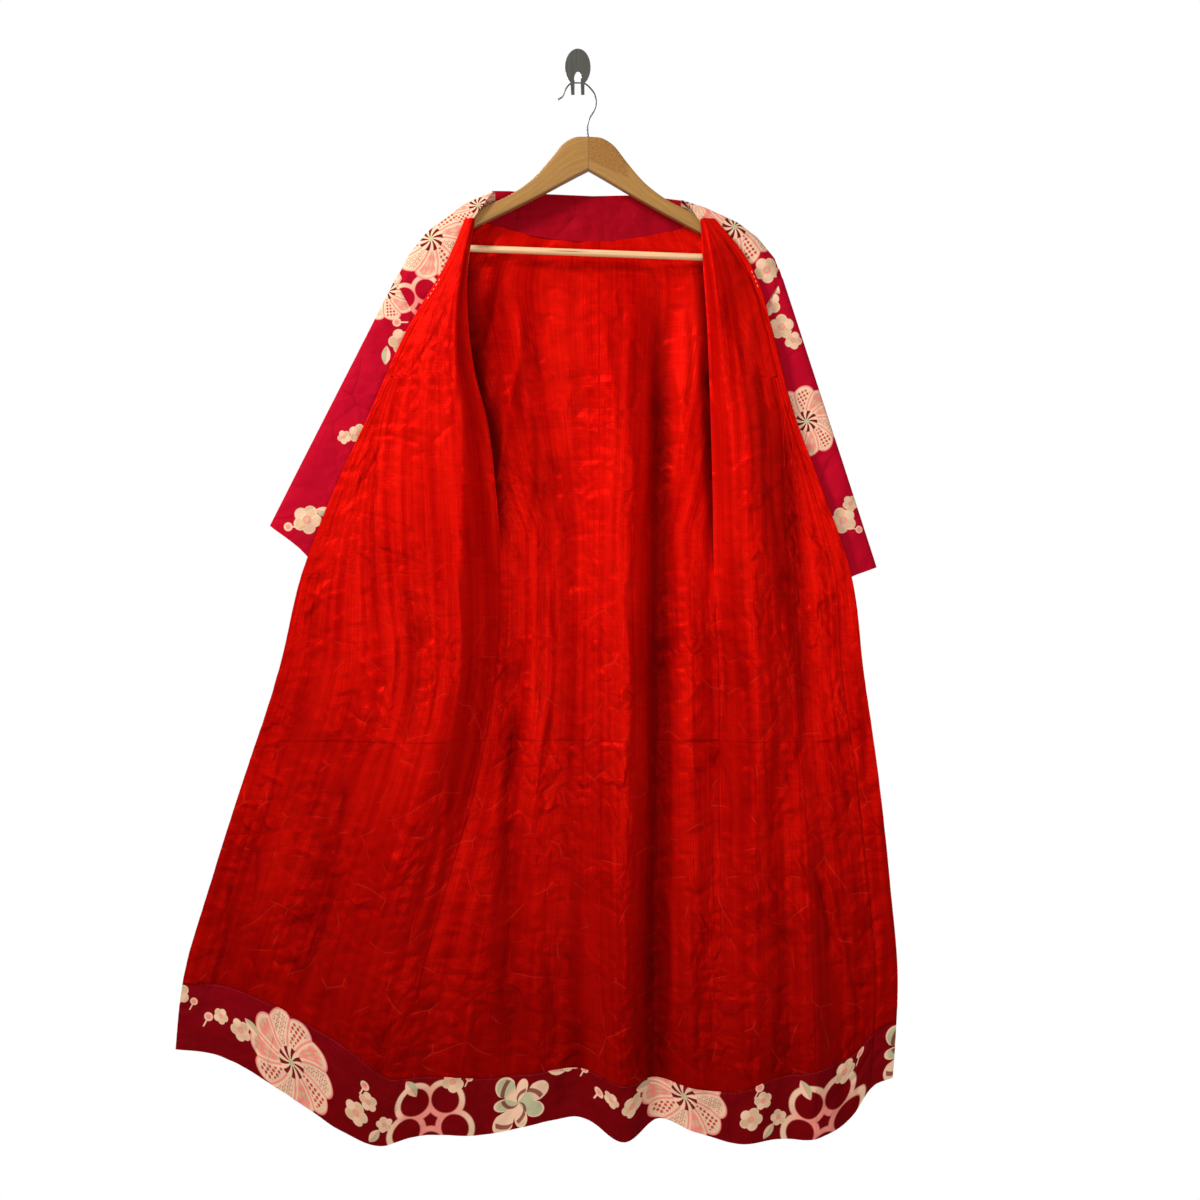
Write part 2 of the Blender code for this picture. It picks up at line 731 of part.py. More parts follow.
def make_wire():
    """The hanger's wire hook: a round wire on one smooth line."""
    shape = bpy.data.curves.new("hanger_wire", "CURVE")
    shape.dimensions = "3D"
    shape.bevel_depth = WIRE_RADIUS * MM
    shape.bevel_resolution = 2
    shape.use_fill_caps = True
    points = []
    for i in range(len(WIRE) - 1):
        before = WIRE[max(i - 1, 0)]
        start, end = WIRE[i], WIRE[i + 1]
        after = WIRE[min(i + 2, len(WIRE) - 1)]
        for k in range(WIRE_STEPS):
            points.append(spline_point(before, start, end, after, k / WIRE_STEPS))
    points.append((WIRE[-1].x, WIRE[-1].z))
    spline = shape.splines.new("POLY")
    spline.points.add(len(points) - 1)
    for point, (x, z) in zip(spline.points, points):
        point.co = (*place(x, z, HANGER_DEPTH), 1)
    wire = bpy.data.objects.new("hanger_wire", shape)
    bpy.context.collection.objects.link(wire)
    shape.materials.append(material(WIRE_STEEL))
    return wire


def spline_point(before, start, end, after, t):
    """A point on the smooth curve from start to end, with its neighbours on either side."""
    found = []
    for a, b, c, d in zip(before, start, end, after):
        found.append(
            b
            + 0.5
            * t
            * ((c - a) + t * (2 * a - 5 * b + 4 * c - d + t * (3 * (b - c) + d - a)))
        )
    return found


def make_wall_hook():
    """An oval plate on the wall with an arch cut from its foot, and two prongs for the wire."""
    shaped = bmesh.new()
    outline = []
    spread = math.asin(PLATE_FOOT_Z / (PLATE_HEIGHT / 2))
    for i in range(PLATE_SIDES + 1):
        turn = spread + (math.pi - 2 * spread) * i / PLATE_SIDES
        outline.append((math.cos(turn) * PLATE_WIDTH / 2, math.sin(turn) * PLATE_HEIGHT / 2))
    arch_height = ARCH_TOP_Z - PLATE_FOOT_Z
    for i in range(ARCH_SIDES + 1):
        turn = math.pi - math.pi * i / ARCH_SIDES
        outline.append((ARCH_HALF * math.cos(turn), PLATE_FOOT_Z + arch_height * math.sin(turn)))
    front = [shaped.verts.new(place(x, z, PLATE_THICK)) for x, z in outline]
    back = [shaped.verts.new(place(x, z, 0)) for x, z in outline]
    count = len(outline)
    for i in range(count):
        j = (i + 1) % count
        shaped.faces.new((front[i], front[j], back[j], back[i]))
    shaped.faces.new(front)
    shaped.faces.new(back[::-1])
    bmesh.ops.recalc_face_normals(shaped, faces=shaped.faces)
    plate = finish_object("wall_hook", shaped, PLATE_STEEL)
    for index, middle in enumerate((-PRONG_X, PRONG_X)):
        prong = make_prong(index, middle)
        union = plate.modifiers.new("prong " + str(index), "BOOLEAN")
        union.operation = "UNION"
        union.solver = "EXACT"
        union.object = prong
    return plate


def make_prong(index, middle):
    """A bent strip: from the plate's foot out under the wire, and up at its tip."""
    top = WIRE_LOW_Z - WIRE_RADIUS - SEAM_GAP
    near = PRONG_ROOT_DEPTH + PRONG_WALL
    profile = (
        (PRONG_ROOT_DEPTH, PRONG_ROOT_Z),
        (PRONG_ROOT_DEPTH, top - PRONG_WALL),
        (PRONG_REACH, top - PRONG_WALL),
        (PRONG_REACH, top + PRONG_TIP),
        (PRONG_REACH - PRONG_WALL, top + PRONG_TIP),
        (PRONG_REACH - PRONG_WALL, top),
        (near, top),
        (near, PRONG_ROOT_Z),
    )
    shaped = bmesh.new()
    ends = []
    for x in (middle - PRONG_WIDTH / 2, middle + PRONG_WIDTH / 2):
        ends.append([shaped.verts.new(place(x, z, reach)) for reach, z in profile])
    count = len(profile)
    for i in range(count):
        j = (i + 1) % count
        shaped.faces.new((ends[0][i], ends[0][j], ends[1][j], ends[1][i]))
    shaped.faces.new(ends[0][::-1])
    shaped.faces.new(ends[1])
    bmesh.ops.recalc_face_normals(shaped, faces=shaped.faces)
    prong = finish_object("prong_shape_" + str(index), shaped, PLATE_STEEL)
    prong.hide_render = True
    prong.display_type = "WIRE"
    return prong


def main():
    clear_scene()
    make_panels()
    make_collar_fronts()
    make_collar_back()
    make_arm("left")
    make_arm("right")
    make_shoulder("left", SHOULDER_LEFT)
    make_shoulder("right", SHOULDER_RIGHT)
    make_sleeve("left", SLEEVE_LEFT)
    make_sleeve("right", SLEEVE_RIGHT)
    make_bar()
    make_wire()
    make_wall_hook()


main()
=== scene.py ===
"""Lined silk kimono hung wide open on a wooden hanger from an oval wall hook.

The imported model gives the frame: the origin is the centre of the wall hook's back face, +X is to
the right, -Y towards the viewer and +Z up. Tables are in millimetres and meshes in metres.
"""

import logging
import math
from dataclasses import dataclass
from enum import Enum
from typing import ClassVar

import bmesh
import bpy
import numpy as np
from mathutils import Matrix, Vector


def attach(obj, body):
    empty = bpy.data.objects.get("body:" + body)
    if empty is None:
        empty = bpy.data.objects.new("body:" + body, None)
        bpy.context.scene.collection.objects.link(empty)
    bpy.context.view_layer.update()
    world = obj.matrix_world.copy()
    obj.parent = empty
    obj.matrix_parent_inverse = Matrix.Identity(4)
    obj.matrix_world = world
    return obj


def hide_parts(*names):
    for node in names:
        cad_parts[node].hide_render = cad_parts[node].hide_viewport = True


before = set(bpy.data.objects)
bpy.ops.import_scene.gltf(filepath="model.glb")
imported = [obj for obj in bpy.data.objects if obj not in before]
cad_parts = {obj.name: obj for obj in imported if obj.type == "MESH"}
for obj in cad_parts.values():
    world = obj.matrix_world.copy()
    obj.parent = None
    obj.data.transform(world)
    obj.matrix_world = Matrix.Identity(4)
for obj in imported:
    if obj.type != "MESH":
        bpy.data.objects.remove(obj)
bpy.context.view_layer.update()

MM = 0.001
LOG = logging.getLogger("kimono")
Grid = np.ndarray


class Slot(Enum):
    """The record's material slots."""

    OUTER = "outer_silk"
    LINING = "lining_silk"
    WOOD = "hanger_wood"
    WIRE = "hanger_wire"


class Side(Enum):
    """The two halves of the garment, as seen."""

    LEFT = "left"
    RIGHT = "right"

    @property
    def facing(self) -> int:
        """-1 on the left and 1 on the right."""
        return -1 if self is Side.LEFT else 1


class Stretch(Enum):
    """The three stretches of a panel's inner side, from the top."""

    UPPER = "upper_lining"
    LOWER = "lower_lining"
    FACING = "hem_facing"


def table(kind: type, *rows: tuple) -> tuple:
    """A table whose rows have this kind's named columns."""
    return tuple(kind(*row) for row in rows)


# Node making


class Signal:
    """A node's output that takes part in Python sums."""

    def __init__(self, loom: "Loom", socket: bpy.types.NodeSocket) -> None:
        """Wraps an output of one of the loom's nodes."""
        self.loom = loom
        self.socket = socket

    def math(self, operation: str, *others: "Signal | float") -> "Signal":
        """One Math node on this value and up to two others."""
        inputs = dict(enumerate((self, *others)))
        return self.loom.signal("ShaderNodeMath", {"operation": operation}, inputs)

    def __add__(self, other: "Signal | float") -> "Signal":
        """The sum."""
        return self.math("ADD", other)

    def __sub__(self, other: "Signal | float") -> "Signal":
        """The difference."""
        return self.math("SUBTRACT", other)

    def __mul__(self, other: "Signal | float") -> "Signal":
        """The product."""
        return self.math("MULTIPLY", other)

    def __rsub__(self, other: float) -> "Signal":
        """A number less this value."""
        return (self * -1.0) + other

    __radd__ = __add__
    __rmul__ = __mul__

    def between(self, low: float, high: float, start: float = 0.0, end: float = 1.0) -> "Signal":
        """Maps low..high to start..end, clamped."""
        inputs = {0: self, 1: low, 2: high, 3: start, 4: end}
        return self.loom.signal("ShaderNodeMapRange", {"clamp": True}, inputs)

    def below(self, edge: float, soft: float = 0.02) -> "Signal":
        """1 under the edge, falling to 0 over it."""
        return self.between(edge - soft / 2, edge + soft / 2, 1.0, 0.0)

    def above(self, edge: float, soft: float = 0.02) -> "Signal":
        """1 over the edge, falling to 0 under it."""
        return self.between(edge - soft / 2, edge + soft / 2)


class Loom:
    """Makes the nodes of one tree."""

    def __init__(self, tree: bpy.types.NodeTree) -> None:
        """Takes the tree to fill."""
        self.tree = tree

    def node(self, kind: str, settings: dict | None = None, inputs: dict | None = None) -> bpy.types.Node:
        """Adds one node.

        Args:
            kind: The node's type.
            settings: Its own settings.
            inputs: Values or links, by socket name or number.

        Returns:
            The node.
        """
        made = self.tree.nodes.new(kind)
        for name, value in (settings or {}).items():
            setattr(made, name, value)
        for key, value in (inputs or {}).items():
            if isinstance(value, Signal):
                self.tree.links.new(value.socket, made.inputs[key])
            else:
                made.inputs[key].default_value = value
        return made

    def signal(
        self, kind: str, settings: dict | None = None, inputs: dict | None = None, output: int | str = 0
    ) -> Signal:
        """Adds one node and gives one of its outputs."""
        return Signal(self, self.node(kind, settings, inputs).outputs[output])

    def vector(self, operation: str, inputs: dict, output: int | str = 0) -> Signal:
        """Adds a Vector Math node."""
        return self.signal("ShaderNodeVectorMath", {"operation": operation}, inputs, output)

    def mix(self, share: "Signal | float", low: "Signal | tuple", high: "Signal | tuple") -> Signal:
        """Mixes two colours, with this share of the second."""
        low, high = (c if isinstance(c, Signal) else (*c, 1.0) for c in (low, high))
        return self.signal("ShaderNodeMix", {"data_type": "RGBA"}, {0: share, 6: low, 7: high}, 2)

    def noise(self, place: Signal, scale: float, detail: float = 2, stretch: tuple = (1, 1, 1)) -> Signal:
        """Soft noise around 0.5, in patches per metre, over coordinates stretched on each axis."""
        scaled = self.signal("ShaderNodeMapping", None, {"Vector": place, "Scale": stretch})
        return self.signal("ShaderNodeTexNoise", None, {"Vector": scaled, "Scale": scale, "Detail": detail})

    def crumple(self, place: Signal, scale: float) -> Signal:
        """The facets of crumpled cloth: 0 on their sharp creases, rising to their middles.

        Args:
            place: The UV map, in metres.
            scale: Facets per metre.

        Returns:
            How far inside a facet each place lies, in facets.
        """
        waves = {"Vector": place, "Scale": 11.0, "Detail": 1.0}
        bend = self.signal("ShaderNodeTexNoise", {"noise_dimensions": "2D"}, waves, "Color")
        bent = self.vector("MULTIPLY_ADD", {0: bend, 1: (0.03, 0.04, 0.0), 2: place})
        settings = {"feature": "DISTANCE_TO_EDGE", "voronoi_dimensions": "2D"}
        return self.signal("ShaderNodeTexVoronoi", settings, {"Vector": bent, "Scale": scale}, "Distance")

    def split(self, place: Signal) -> tuple[Signal, Signal, Signal]:
        """A vector's three numbers."""
        made = self.node("ShaderNodeSeparateXYZ", None, {0: place})
        return tuple(Signal(self, out) for out in made.outputs)

    def cut(self) -> Signal:
        """The mesh's UV map, which lays the cut cloth flat, in metres."""
        return self.signal("ShaderNodeUVMap")

    def solid(self) -> Signal:
        """The object's own coordinates, in metres from the wall hook's back."""
        return self.signal("ShaderNodeTexCoord", output="Object")

    def attribute(self, name: str) -> Signal:
        """A number that the mesh carries at each point."""
        return self.signal("ShaderNodeAttribute", {"attribute_name": name}, output="Fac")


class Ink(Enum):
    """The print's colours."""

    CREAM = (0.78, 0.50, 0.33)
    PINK = (0.80, 0.24, 0.19)
    BEIGE = (0.62, 0.40, 0.23)
    SAGE = (0.42, 0.42, 0.24)
    LINE = (0.16, 0.006, 0.010)


@dataclass(frozen=True)
class Sprinkled:
    """One motif in the print's repeat: its centre, size and turn."""

    u: float
    v: float
    radius: float
    turn: float


MOTIFS = {
    "clover": table(Sprinkled, (0.303, 0.060, 0.066, 0.3), (0.530, 0.214, 0.050, 1.2)),
    "bunch": table(Sprinkled, (0.430, 0.074, 0.050, 0.5)),
    "wheel": table(
        Sprinkled,
        (0.100, 0.084, 0.062, 0.2), (0.250, 0.190, 0.052, 1.1), (0.545, 0.315, 0.060, 0.7),
        (0.614, 0.364, 0.046, 0.3), (0.482, 0.362, 0.046, 1.6),
    ),
    "leaf": table(
        Sprinkled,
        (0.041, 0.098, 0.013, 0.6), (0.222, 0.052, 0.013, 2.2), (0.276, 0.112, 0.016, 1.1),
        (0.486, 0.108, 0.013, 0.2), (0.048, 0.204, 0.015, 2.7), (0.128, 0.322, 0.014, 0.4),
        (0.372, 0.298, 0.015, 1.9),
    ),
    "bud": table(
        Sprinkled,
        (-0.024, 0.090, 0.007, 0.0), (0.209, 0.118, 0.007, 0.0), (0.359, 0.122, 0.006, 0.0),
        (0.527, 0.110, 0.006, 0.0), (0.078, 0.330, 0.007, 0.0), (0.272, 0.286, 0.007, 0.0),
        (0.416, 0.336, 0.007, 0.0), (0.424, 0.214, 0.006, 0.0),
    ),
    "blossom": table(
        Sprinkled,
        (0.024, 0.086, 0.015, 0.4), (-0.006, 0.094, 0.011, 1.4), (0.196, 0.074, 0.017, 0.1),
        (0.214, 0.098, 0.013, 0.8), (0.237, 0.070, 0.012, 2.0), (0.335, 0.116, 0.016, 0.3),
        (0.505, 0.120, 0.016, 0.6), (0.070, 0.190, 0.018, 0.5), (0.110, 0.010, 0.020, 0.5),
        (0.404, 0.196, 0.019, 0.5), (0.108, 0.198, 0.018, 0.9), (0.132, 0.208, 0.013, 0.1),
        (0.384, 0.214, 0.012, 1.5), (0.470, 0.262, 0.018, 1.5), (0.592, 0.252, 0.019, 0.2),
        (0.100, 0.312, 0.018, 0.2), (0.248, 0.306, 0.014, 0.9), (0.262, 0.322, 0.010, 0.4),
        (0.394, 0.316, 0.021, 0.7),
    ),
}


@dataclass(frozen=True)
class Print:
    """The blossom print: one repeat of traditional flowers, drawn from sums of the UV map."""

    width: float = 0.572
    height: float = 0.400

    def draw(self, loom: Loom, place: Signal, ground: Signal) -> Signal:
        """Prints the repeat over the ground.

        Args:
            loom: The tree's maker.
            place: The UV map, in metres.
            ground: The cloth's own colour.

        Returns:
            The printed colour.
        """
        colour = ground
        for name in MOTIFS:
            local = self.nearest(loom, place, name)
            motif = loom.node("ShaderNodeGroup", {"node_tree": getattr(self, name)()}, {0: local})
            colour = loom.mix(Signal(loom, motif.outputs[0]), colour, Signal(loom, motif.outputs[1]))
        return colour

    def nearest(self, loom: Loom, spot: Signal, name: str) -> Signal:
        """Coordinates about the nearest motif of one name, in its own size and turn.

        Args:
            loom: The tree's maker.
            spot: The UV map, in metres.
            name: The motif.

        Returns:
            The local coordinates.
        """
        best, least = None, None
        across, along = self.width / 2, self.height / 2
        for one in MOTIFS[name]:
            moved = loom.vector("SUBTRACT", {0: spot, 1: (one.u, one.v, 0)})
            wrapped = loom.vector("WRAP", {0: moved, 1: (across, along, 9), 2: (-across, -along, -9)})
            size = (1 / one.radius,) * 3
            turned = {"Vector": wrapped, "Rotation": (0, 0, one.turn), "Scale": size}
            local = loom.signal("ShaderNodeMapping", None, turned)
            far = loom.vector("LENGTH", {0: local}, "Value")
            if best is None:
                best, least = local, far
                continue
            closer = far.math("LESS_THAN", least)
            best = loom.signal("ShaderNodeMix", {"data_type": "VECTOR"}, {0: closer, 4: best, 5: local}, 1)
            least = far.math("MINIMUM", least)
        return best

    @staticmethod
    def group(name: str) -> tuple[Loom, Signal, bpy.types.Node]:
        """An empty group with a place going in, and a mask and a colour coming out.

        Args:
            name: The motif's name.

        Returns:
            The group's loom, its place and its output node.
        """
        tree = bpy.data.node_groups.new("print " + name, "ShaderNodeTree")
        tree.interface.new_socket("Place", in_out="INPUT", socket_type="NodeSocketVector")
        tree.interface.new_socket("Mask", in_out="OUTPUT", socket_type="NodeSocketFloat")
        tree.interface.new_socket("Colour", in_out="OUTPUT", socket_type="NodeSocketColor")
        loom = Loom(tree)
        place = Signal(loom, loom.node("NodeGroupInput").outputs[0])
        return loom, place, loom.node("NodeGroupOutput")

    @staticmethod
    def polar(loom: Loom, place: Signal, petals: int, swirl: float = 0.0) -> tuple[Signal, ...]:
        """Polar coordinates folded into petals.

        Args:
            loom: The tree's maker.
            place: Coordinates about the flower's centre.
            petals: How many petals.
            swirl: How far they bend round, in petals.

        Returns:
            The reach, the turn, the petal's number and the share from its middle, -0.5 to 0.5.
        """
        x, y, _ = loom.split(place)
        reach = loom.vector("LENGTH", {0: place}, "Value")
        turn = y.math("ARCTAN2", x)
        around = turn * (petals / math.tau) + reach * swirl
        number = (around + 0.5).math("FLOOR")
        return reach, turn, number, around - number

    @staticmethod
    def lobe(reach: Signal, share: Signal, middle: float) -> Signal:
        """How far each place lies from the middle of its petal, one of five.

        Args:
            reach: How far each place lies from the flower's centre.
            share: The share across its petal, -0.5 to 0.5.
            middle: How far out the petal's own middle lies.

        Returns:
            The distance, in flowers.
        """
        swing = share * (math.tau / 5)
        x = reach * swing.math("COSINE") - middle
        y = reach * swing.math("SINE")
        return (x * x + y * y).math("SQRT")

    def finish(self, loom: Loom, out: bpy.types.Node, mask: Signal, colour: Signal) -> bpy.types.NodeTree:
        """Joins a motif's mask and colour to its group's output.

        Args:
            loom: The tree's maker.
            out: The group's output node.
            mask: Where the motif shows.
            colour: Its colour.

        Returns:
            The motif's tree.
        """
        loom.tree.links.new(mask.socket, out.inputs[0])
        loom.tree.links.new(colour.socket, out.inputs[1])
        return loom.tree

    def wheel(self) -> bpy.types.NodeTree:
        """A round chrysanthemum: ten petals with three fillings, and a turning heart.

        Returns:
            The motif's tree.
        """
        loom, place, out = self.group("wheel")
        reach, turn, number, share = self.polar(loom, place, 10, 0.7)
        rim = 1.0 - share * share * 0.5
        inside = rim - reach
        flank = (0.5 - share.math("ABSOLUTE")) * reach * (math.tau / 10)
        border = inside.math("MINIMUM", flank * 1.6)
        kind = number.math("FLOORED_MODULO", 3.0)
        x, y, _ = loom.split(place)
        net = (x * 38 + y * 22).math("SINE") * (y * 38 - x * 22).math("SINE")
        dots = (x * 30).math("SINE") * (y * 30).math("SINE")
        netted = loom.mix(net.above(0.12, 0.2), Ink.CREAM.value, (0.50, 0.06, 0.05))
        rings = (dots.math("ABSOLUTE") - 0.55).math("ABSOLUTE").below(0.16, 0.12)
        dotted = loom.mix(rings * 0.8, Ink.CREAM.value, (0.30, 0.03, 0.03))
        ringed = ((reach * 24).math("SINE") + (share * 26).math("SINE")).above(0.4, 0.3)
        scrolled = loom.mix(ringed, Ink.PINK.value, Ink.BEIGE.value)
        fill = loom.mix(kind.above(0.5), netted, dotted)
        fill = loom.mix(kind.above(1.5), fill, scrolled)
        colour = loom.mix(border.below(0.11, 0.03), fill, Ink.CREAM.value)
        colour = loom.mix(border.below(0.035, 0.02), colour, Ink.PINK.value)
        spun = (turn * (9 / math.tau) + reach * 1.5).math("FRACT").below(0.5, 0.12)
        heart = loom.mix(spun, Ink.LINE.value, Ink.CREAM.value)
        heart = loom.mix(reach.below(0.07), heart, Ink.SAGE.value)
        colour = loom.mix(reach.below(0.30), colour, heart)
        return self.finish(loom, out, inside.above(0.0), colour)

    def clover(self) -> bpy.types.NodeTree:
        """A large plum outline: broad open arches, shaded from pink to cream.

        Returns:
            The motif's tree.
        """
        loom, place, out = self.group("clover")
        reach, _, _, share = self.polar(loom, place, 5)
        arch = (self.lobe(reach, share, 0.56) - 0.37).math("ABSOLUTE")
        mask = arch.below(0.062, 0.03)
        colour = loom.mix(reach.between(0.45, 0.9), Ink.PINK.value, Ink.CREAM.value)
        return self.finish(loom, out, mask, colour)

    def bunch(self) -> bpy.types.NodeTree:
        """A loose bunch of broad petals with dark veins and sage shading.

        Returns:
            The motif's tree.
        """
        loom, place, out = self.group("bunch")
        reach, turn, number, share = self.polar(loom, place, 7)
        wave = (number * 2.4).math("SINE") * 0.16
        rim = 0.84 + wave - share * share * 1.3
        inside = rim - reach
        vein = ((turn * 3 + reach * 9).math("SINE") * 0.5 + 0.5).above(0.9, 0.08)
        shade = (number * 1.7 + reach * 3).math("SINE").above(0.1, 0.5)
        colour = loom.mix(shade, Ink.CREAM.value, Ink.SAGE.value)
        colour = loom.mix((number * 3.1).math("SINE").above(0.5, 0.1), colour, Ink.PINK.value)
        colour = loom.mix(inside.below(0.06, 0.03), colour, Ink.CREAM.value)
        colour = loom.mix(vein * inside.above(0.1) * 0.85, colour, Ink.LINE.value)
        return self.finish(loom, out, inside.above(0.0), colour)

    def blossom(self) -> bpy.types.NodeTree:
        """A small plum blossom with five round petals.

        Returns:
            The motif's tree.
        """
        loom, place, out = self.group("blossom")
        reach, _, number, share = self.polar(loom, place, 5)
        far = 0.46 - self.lobe(reach, share, 0.55)
        mask = far.above(0.0, 0.06).math("MAXIMUM", reach.below(0.4))
        shade = (number * 2.1).math("SINE").between(-1.0, 1.0)
        colour = loom.mix(shade, Ink.CREAM.value, Ink.BEIGE.value)
        colour = loom.mix(far.below(0.09, 0.06) * reach.above(0.4), colour, Ink.CREAM.value)
        heart = loom.mix(reach.below(0.14, 0.05), Ink.PINK.value, Ink.SAGE.value)
        colour = loom.mix(reach.below(0.30, 0.1), colour, heart)
        return self.finish(loom, out, mask, colour)

    def bud(self) -> bpy.types.NodeTree:
        """A round bud on a short stalk.

        Returns:
            The motif's tree.
        """
        loom, place, out = self.group("bud")
        reach = loom.vector("LENGTH", {0: place}, "Value")
        x, y, _ = loom.split(place)
        stalk = (x - y * 0.5).math("ABSOLUTE").below(0.16, 0.1) * y.between(-2.2, -2.0) * y.below(0.0)
        colour = loom.mix(reach.above(0.55, 0.3), Ink.PINK.value, Ink.CREAM.value)
        return self.finish(loom, out, reach.below(0.9, 0.15).math("MAXIMUM", stalk), colour)

    def leaf(self) -> bpy.types.NodeTree:
        """A pointed leaf with a middle vein.

        Returns:
            The motif's tree.
        """
        loom, place, out = self.group("leaf")
        x, y, _ = loom.split(place)
        half = 0.46 - x * x * 0.46
        inside = half - y.math("ABSOLUTE")
        colour = loom.mix(y.above(0.0, 0.1), Ink.CREAM.value, Ink.SAGE.value)
        colour = loom.mix(y.math("ABSOLUTE").below(0.05, 0.04), colour, Ink.PINK.value)
        return self.finish(loom, out, inside.above(0.0, 0.06), colour)


# Finishes


class Finish:
    """A material with one shader, made once."""

    name: str

    def dress(self, loom: Loom, shader: bpy.types.Node) -> None:
        """Links the finish's own nodes to the shader."""
        raise NotImplementedError

    def made(self) -> bpy.types.Material:
        """The material, built the first time that it is asked for."""
        found = bpy.data.materials.get(self.name)
        if found:
            return found
        material = bpy.data.materials.new(self.name)
        material.use_nodes = True
        loom = Loom(material.node_tree)
        self.dress(loom, material.node_tree.nodes["Principled BSDF"])
        return material

    @staticmethod
    def set(shader: bpy.types.Node, **values: "float | tuple | Signal") -> None:
        """Sets or links the shader's sockets; an underscore stands for a space.

        Args:
            shader: The material's shader.
            values: Each socket's value or link.
        """
        for name, value in values.items():
            socket = shader.inputs[name.replace("_", " ")]
            if isinstance(value, Signal):
                value.loom.tree.links.new(value.socket, socket)
            else:
                socket.default_value = value

    @staticmethod
    def bump(loom: Loom, height: Signal, distance: float, strength: float = 1.0) -> Signal:
        """A normal bumped by a relief of 0 to 1 that is this many metres high."""
        inputs = {"Height": height, "Distance": distance, "Strength": strength}
        return loom.signal("ShaderNodeBump", None, inputs)


@dataclass(frozen=True)
class LiningSilk(Finish):
    """Thin red plain-weave silk: upright slubs, press lines, a soft shine, painted shade that deepens the red
    low down, painted shade in the folds and along crease lines, and painted highlights on some creases.
    """

    name: str = "red lining silk"
    bright: tuple = (0.74, 0.006, 0.002)
    deep: tuple = (0.34, 0.0, 0.0)
    # foot: painted shade, the darker red that the lining turns to towards the hem
    foot: tuple = (0.12, 0.0, 0.0)
    # valley: painted shade, used in the fold hollows and along crease lines
    valley: tuple = (0.085, 0.0, 0.0)
    # ridge: painted highlight colour along some crease lines
    ridge: tuple = (0.95, 0.05, 0.025)

    def dress(self, loom: Loom, shader: bpy.types.Node) -> None:
        """Links the silk's colour, roughness and bump.

        Args:
            loom: The tree's maker.
            shader: The material's shader.
        """
        place = loom.cut()
        solid = loom.solid()
        _, _, height = loom.split(solid)
        slub = loom.noise(place, 1.0, 1, (460.0, 8.0, 1.0))
        cross = loom.noise(place, 1.0, 1, (26.0, 300.0, 1.0))
        cloud = loom.noise(place, 9.0, 2, (1.6, 0.7, 1.0))
        streak = loom.noise(place, 1.0, 1, (60.0, 1.6, 1.0))
        weave = slub * 0.7 + cross * 0.3
        share = weave.between(0.32, 0.68) * 0.3 + cloud.between(0.3, 0.7) * 0.3
        share = share + streak.between(0.35, 0.65) * 0.4
        colour = loom.mix(share, self.deep, self.bright)
        # Painted shade: darker towards the hem, where less light falls
        colour = loom.mix(height.between(-0.65, -1.5) * 0.80, colour, self.foot)
        # Painted shade along the fine crease lines, with more of it low down
        busy = loom.noise(place, 6.0, 1).between(0.38, 0.62) * height.between(-0.40, -0.85, 0.3, 1.0)
        wide, fine = loom.crumple(place, 15.0), loom.crumple(place, 43.0)
        colour = loom.mix(fine.below(0.05, 0.08) * busy * 0.13, colour, self.valley)
        # Painted highlights along broken stretches of the wide crease lines
        broken = loom.noise(place, 30.0, 0).between(0.52, 0.62)
        painted_highlight_lines = wide.below(0.014, 0.016) * broken * height.between(-0.55, -0.9)
        colour = loom.mix(painted_highlight_lines * 0.11, colour, self.ridge)
        # Painted shade in the fold hollows and beside the fronts, from the mesh's hollow attribute
        hollow = loom.attribute("hollow")
        colour = loom.mix(hollow * 0.9, colour, self.valley)
        relief = wide.math("MINIMUM", 0.4) * (broken * 0.75 + 0.25) + fine * 0.35
        relief = relief * (busy + 0.2) + weave * 0.09
        self.set(
            shader,
            Base_Color=colour,
            Metallic=0.32,
            Roughness=weave.between(0.3, 0.7, 0.56, 0.42),
            Normal=self.bump(loom, relief, 0.007),
            Sheen_Weight=0.03,
            Sheen_Roughness=0.4,
            Sheen_Tint=(1.0, 0.1, 0.05, 1.0),
            Specular_IOR_Level=0.03,
            Specular_Tint=(1.0, 0.30, 0.20, 1.0),
        )


@dataclass(frozen=True)
class PrintedSilk(Finish):
    """Crimson silk crepe with the blossom print, with painted shade towards the hem and along its creases."""

    name: str = "crimson printed silk"
    plain: bool = False
    ground: tuple = (0.50, 0.003, 0.021)
    shade: tuple = (0.33, 0.001, 0.010)
    # foot: painted shade, the darker crimson that the crepe turns to towards the hem
    foot: tuple = (0.105, 0.0, 0.0005)

    def dress(self, loom: Loom, shader: bpy.types.Node) -> None:
        """Links the crepe's colour, print and bump.

        Args:
            loom: The tree's maker.
            shader: The material's shader.
        """
        place = loom.cut()
        solid = loom.solid()
        _, _, height = loom.split(solid)
        grain = loom.noise(place, 620.0, 1)
        cloud = loom.noise(place, 14.0, 2)
        wide, fine = loom.crumple(place, 13.0), loom.crumple(place, 38.0)
        colour = loom.mix(grain * 0.4 + cloud * 0.6, self.shade, self.ground)
        # Painted shade, darker towards the hem
        colour = loom.mix(height.between(-0.8, -1.5) * 0.9, colour, self.foot)
        # Painted shade along the wide crease lines
        colour = loom.mix(wide.below(0.02, 0.03) * cloud.above(0.5, 0.1) * 0.22, colour, self.foot)
        if not self.plain:
            colour = Print().draw(loom, place, colour)
            # Painted shade that dims the print towards the hem
            colour = loom.mix(height.between(-0.9, -1.5) * 0.20, colour, (0.09, 0.002, 0.001))
        relief = (wide.math("MINIMUM", 0.4) + fine * 0.3) * cloud * 1.7 + grain * 0.06
        self.set(
            shader,
            Base_Color=colour,
            Roughness=grain.between(0.3, 0.7, 0.62, 0.5),
            Normal=self.bump(loom, relief, 0.0085),
            Specular_IOR_Level=0.015,
        )


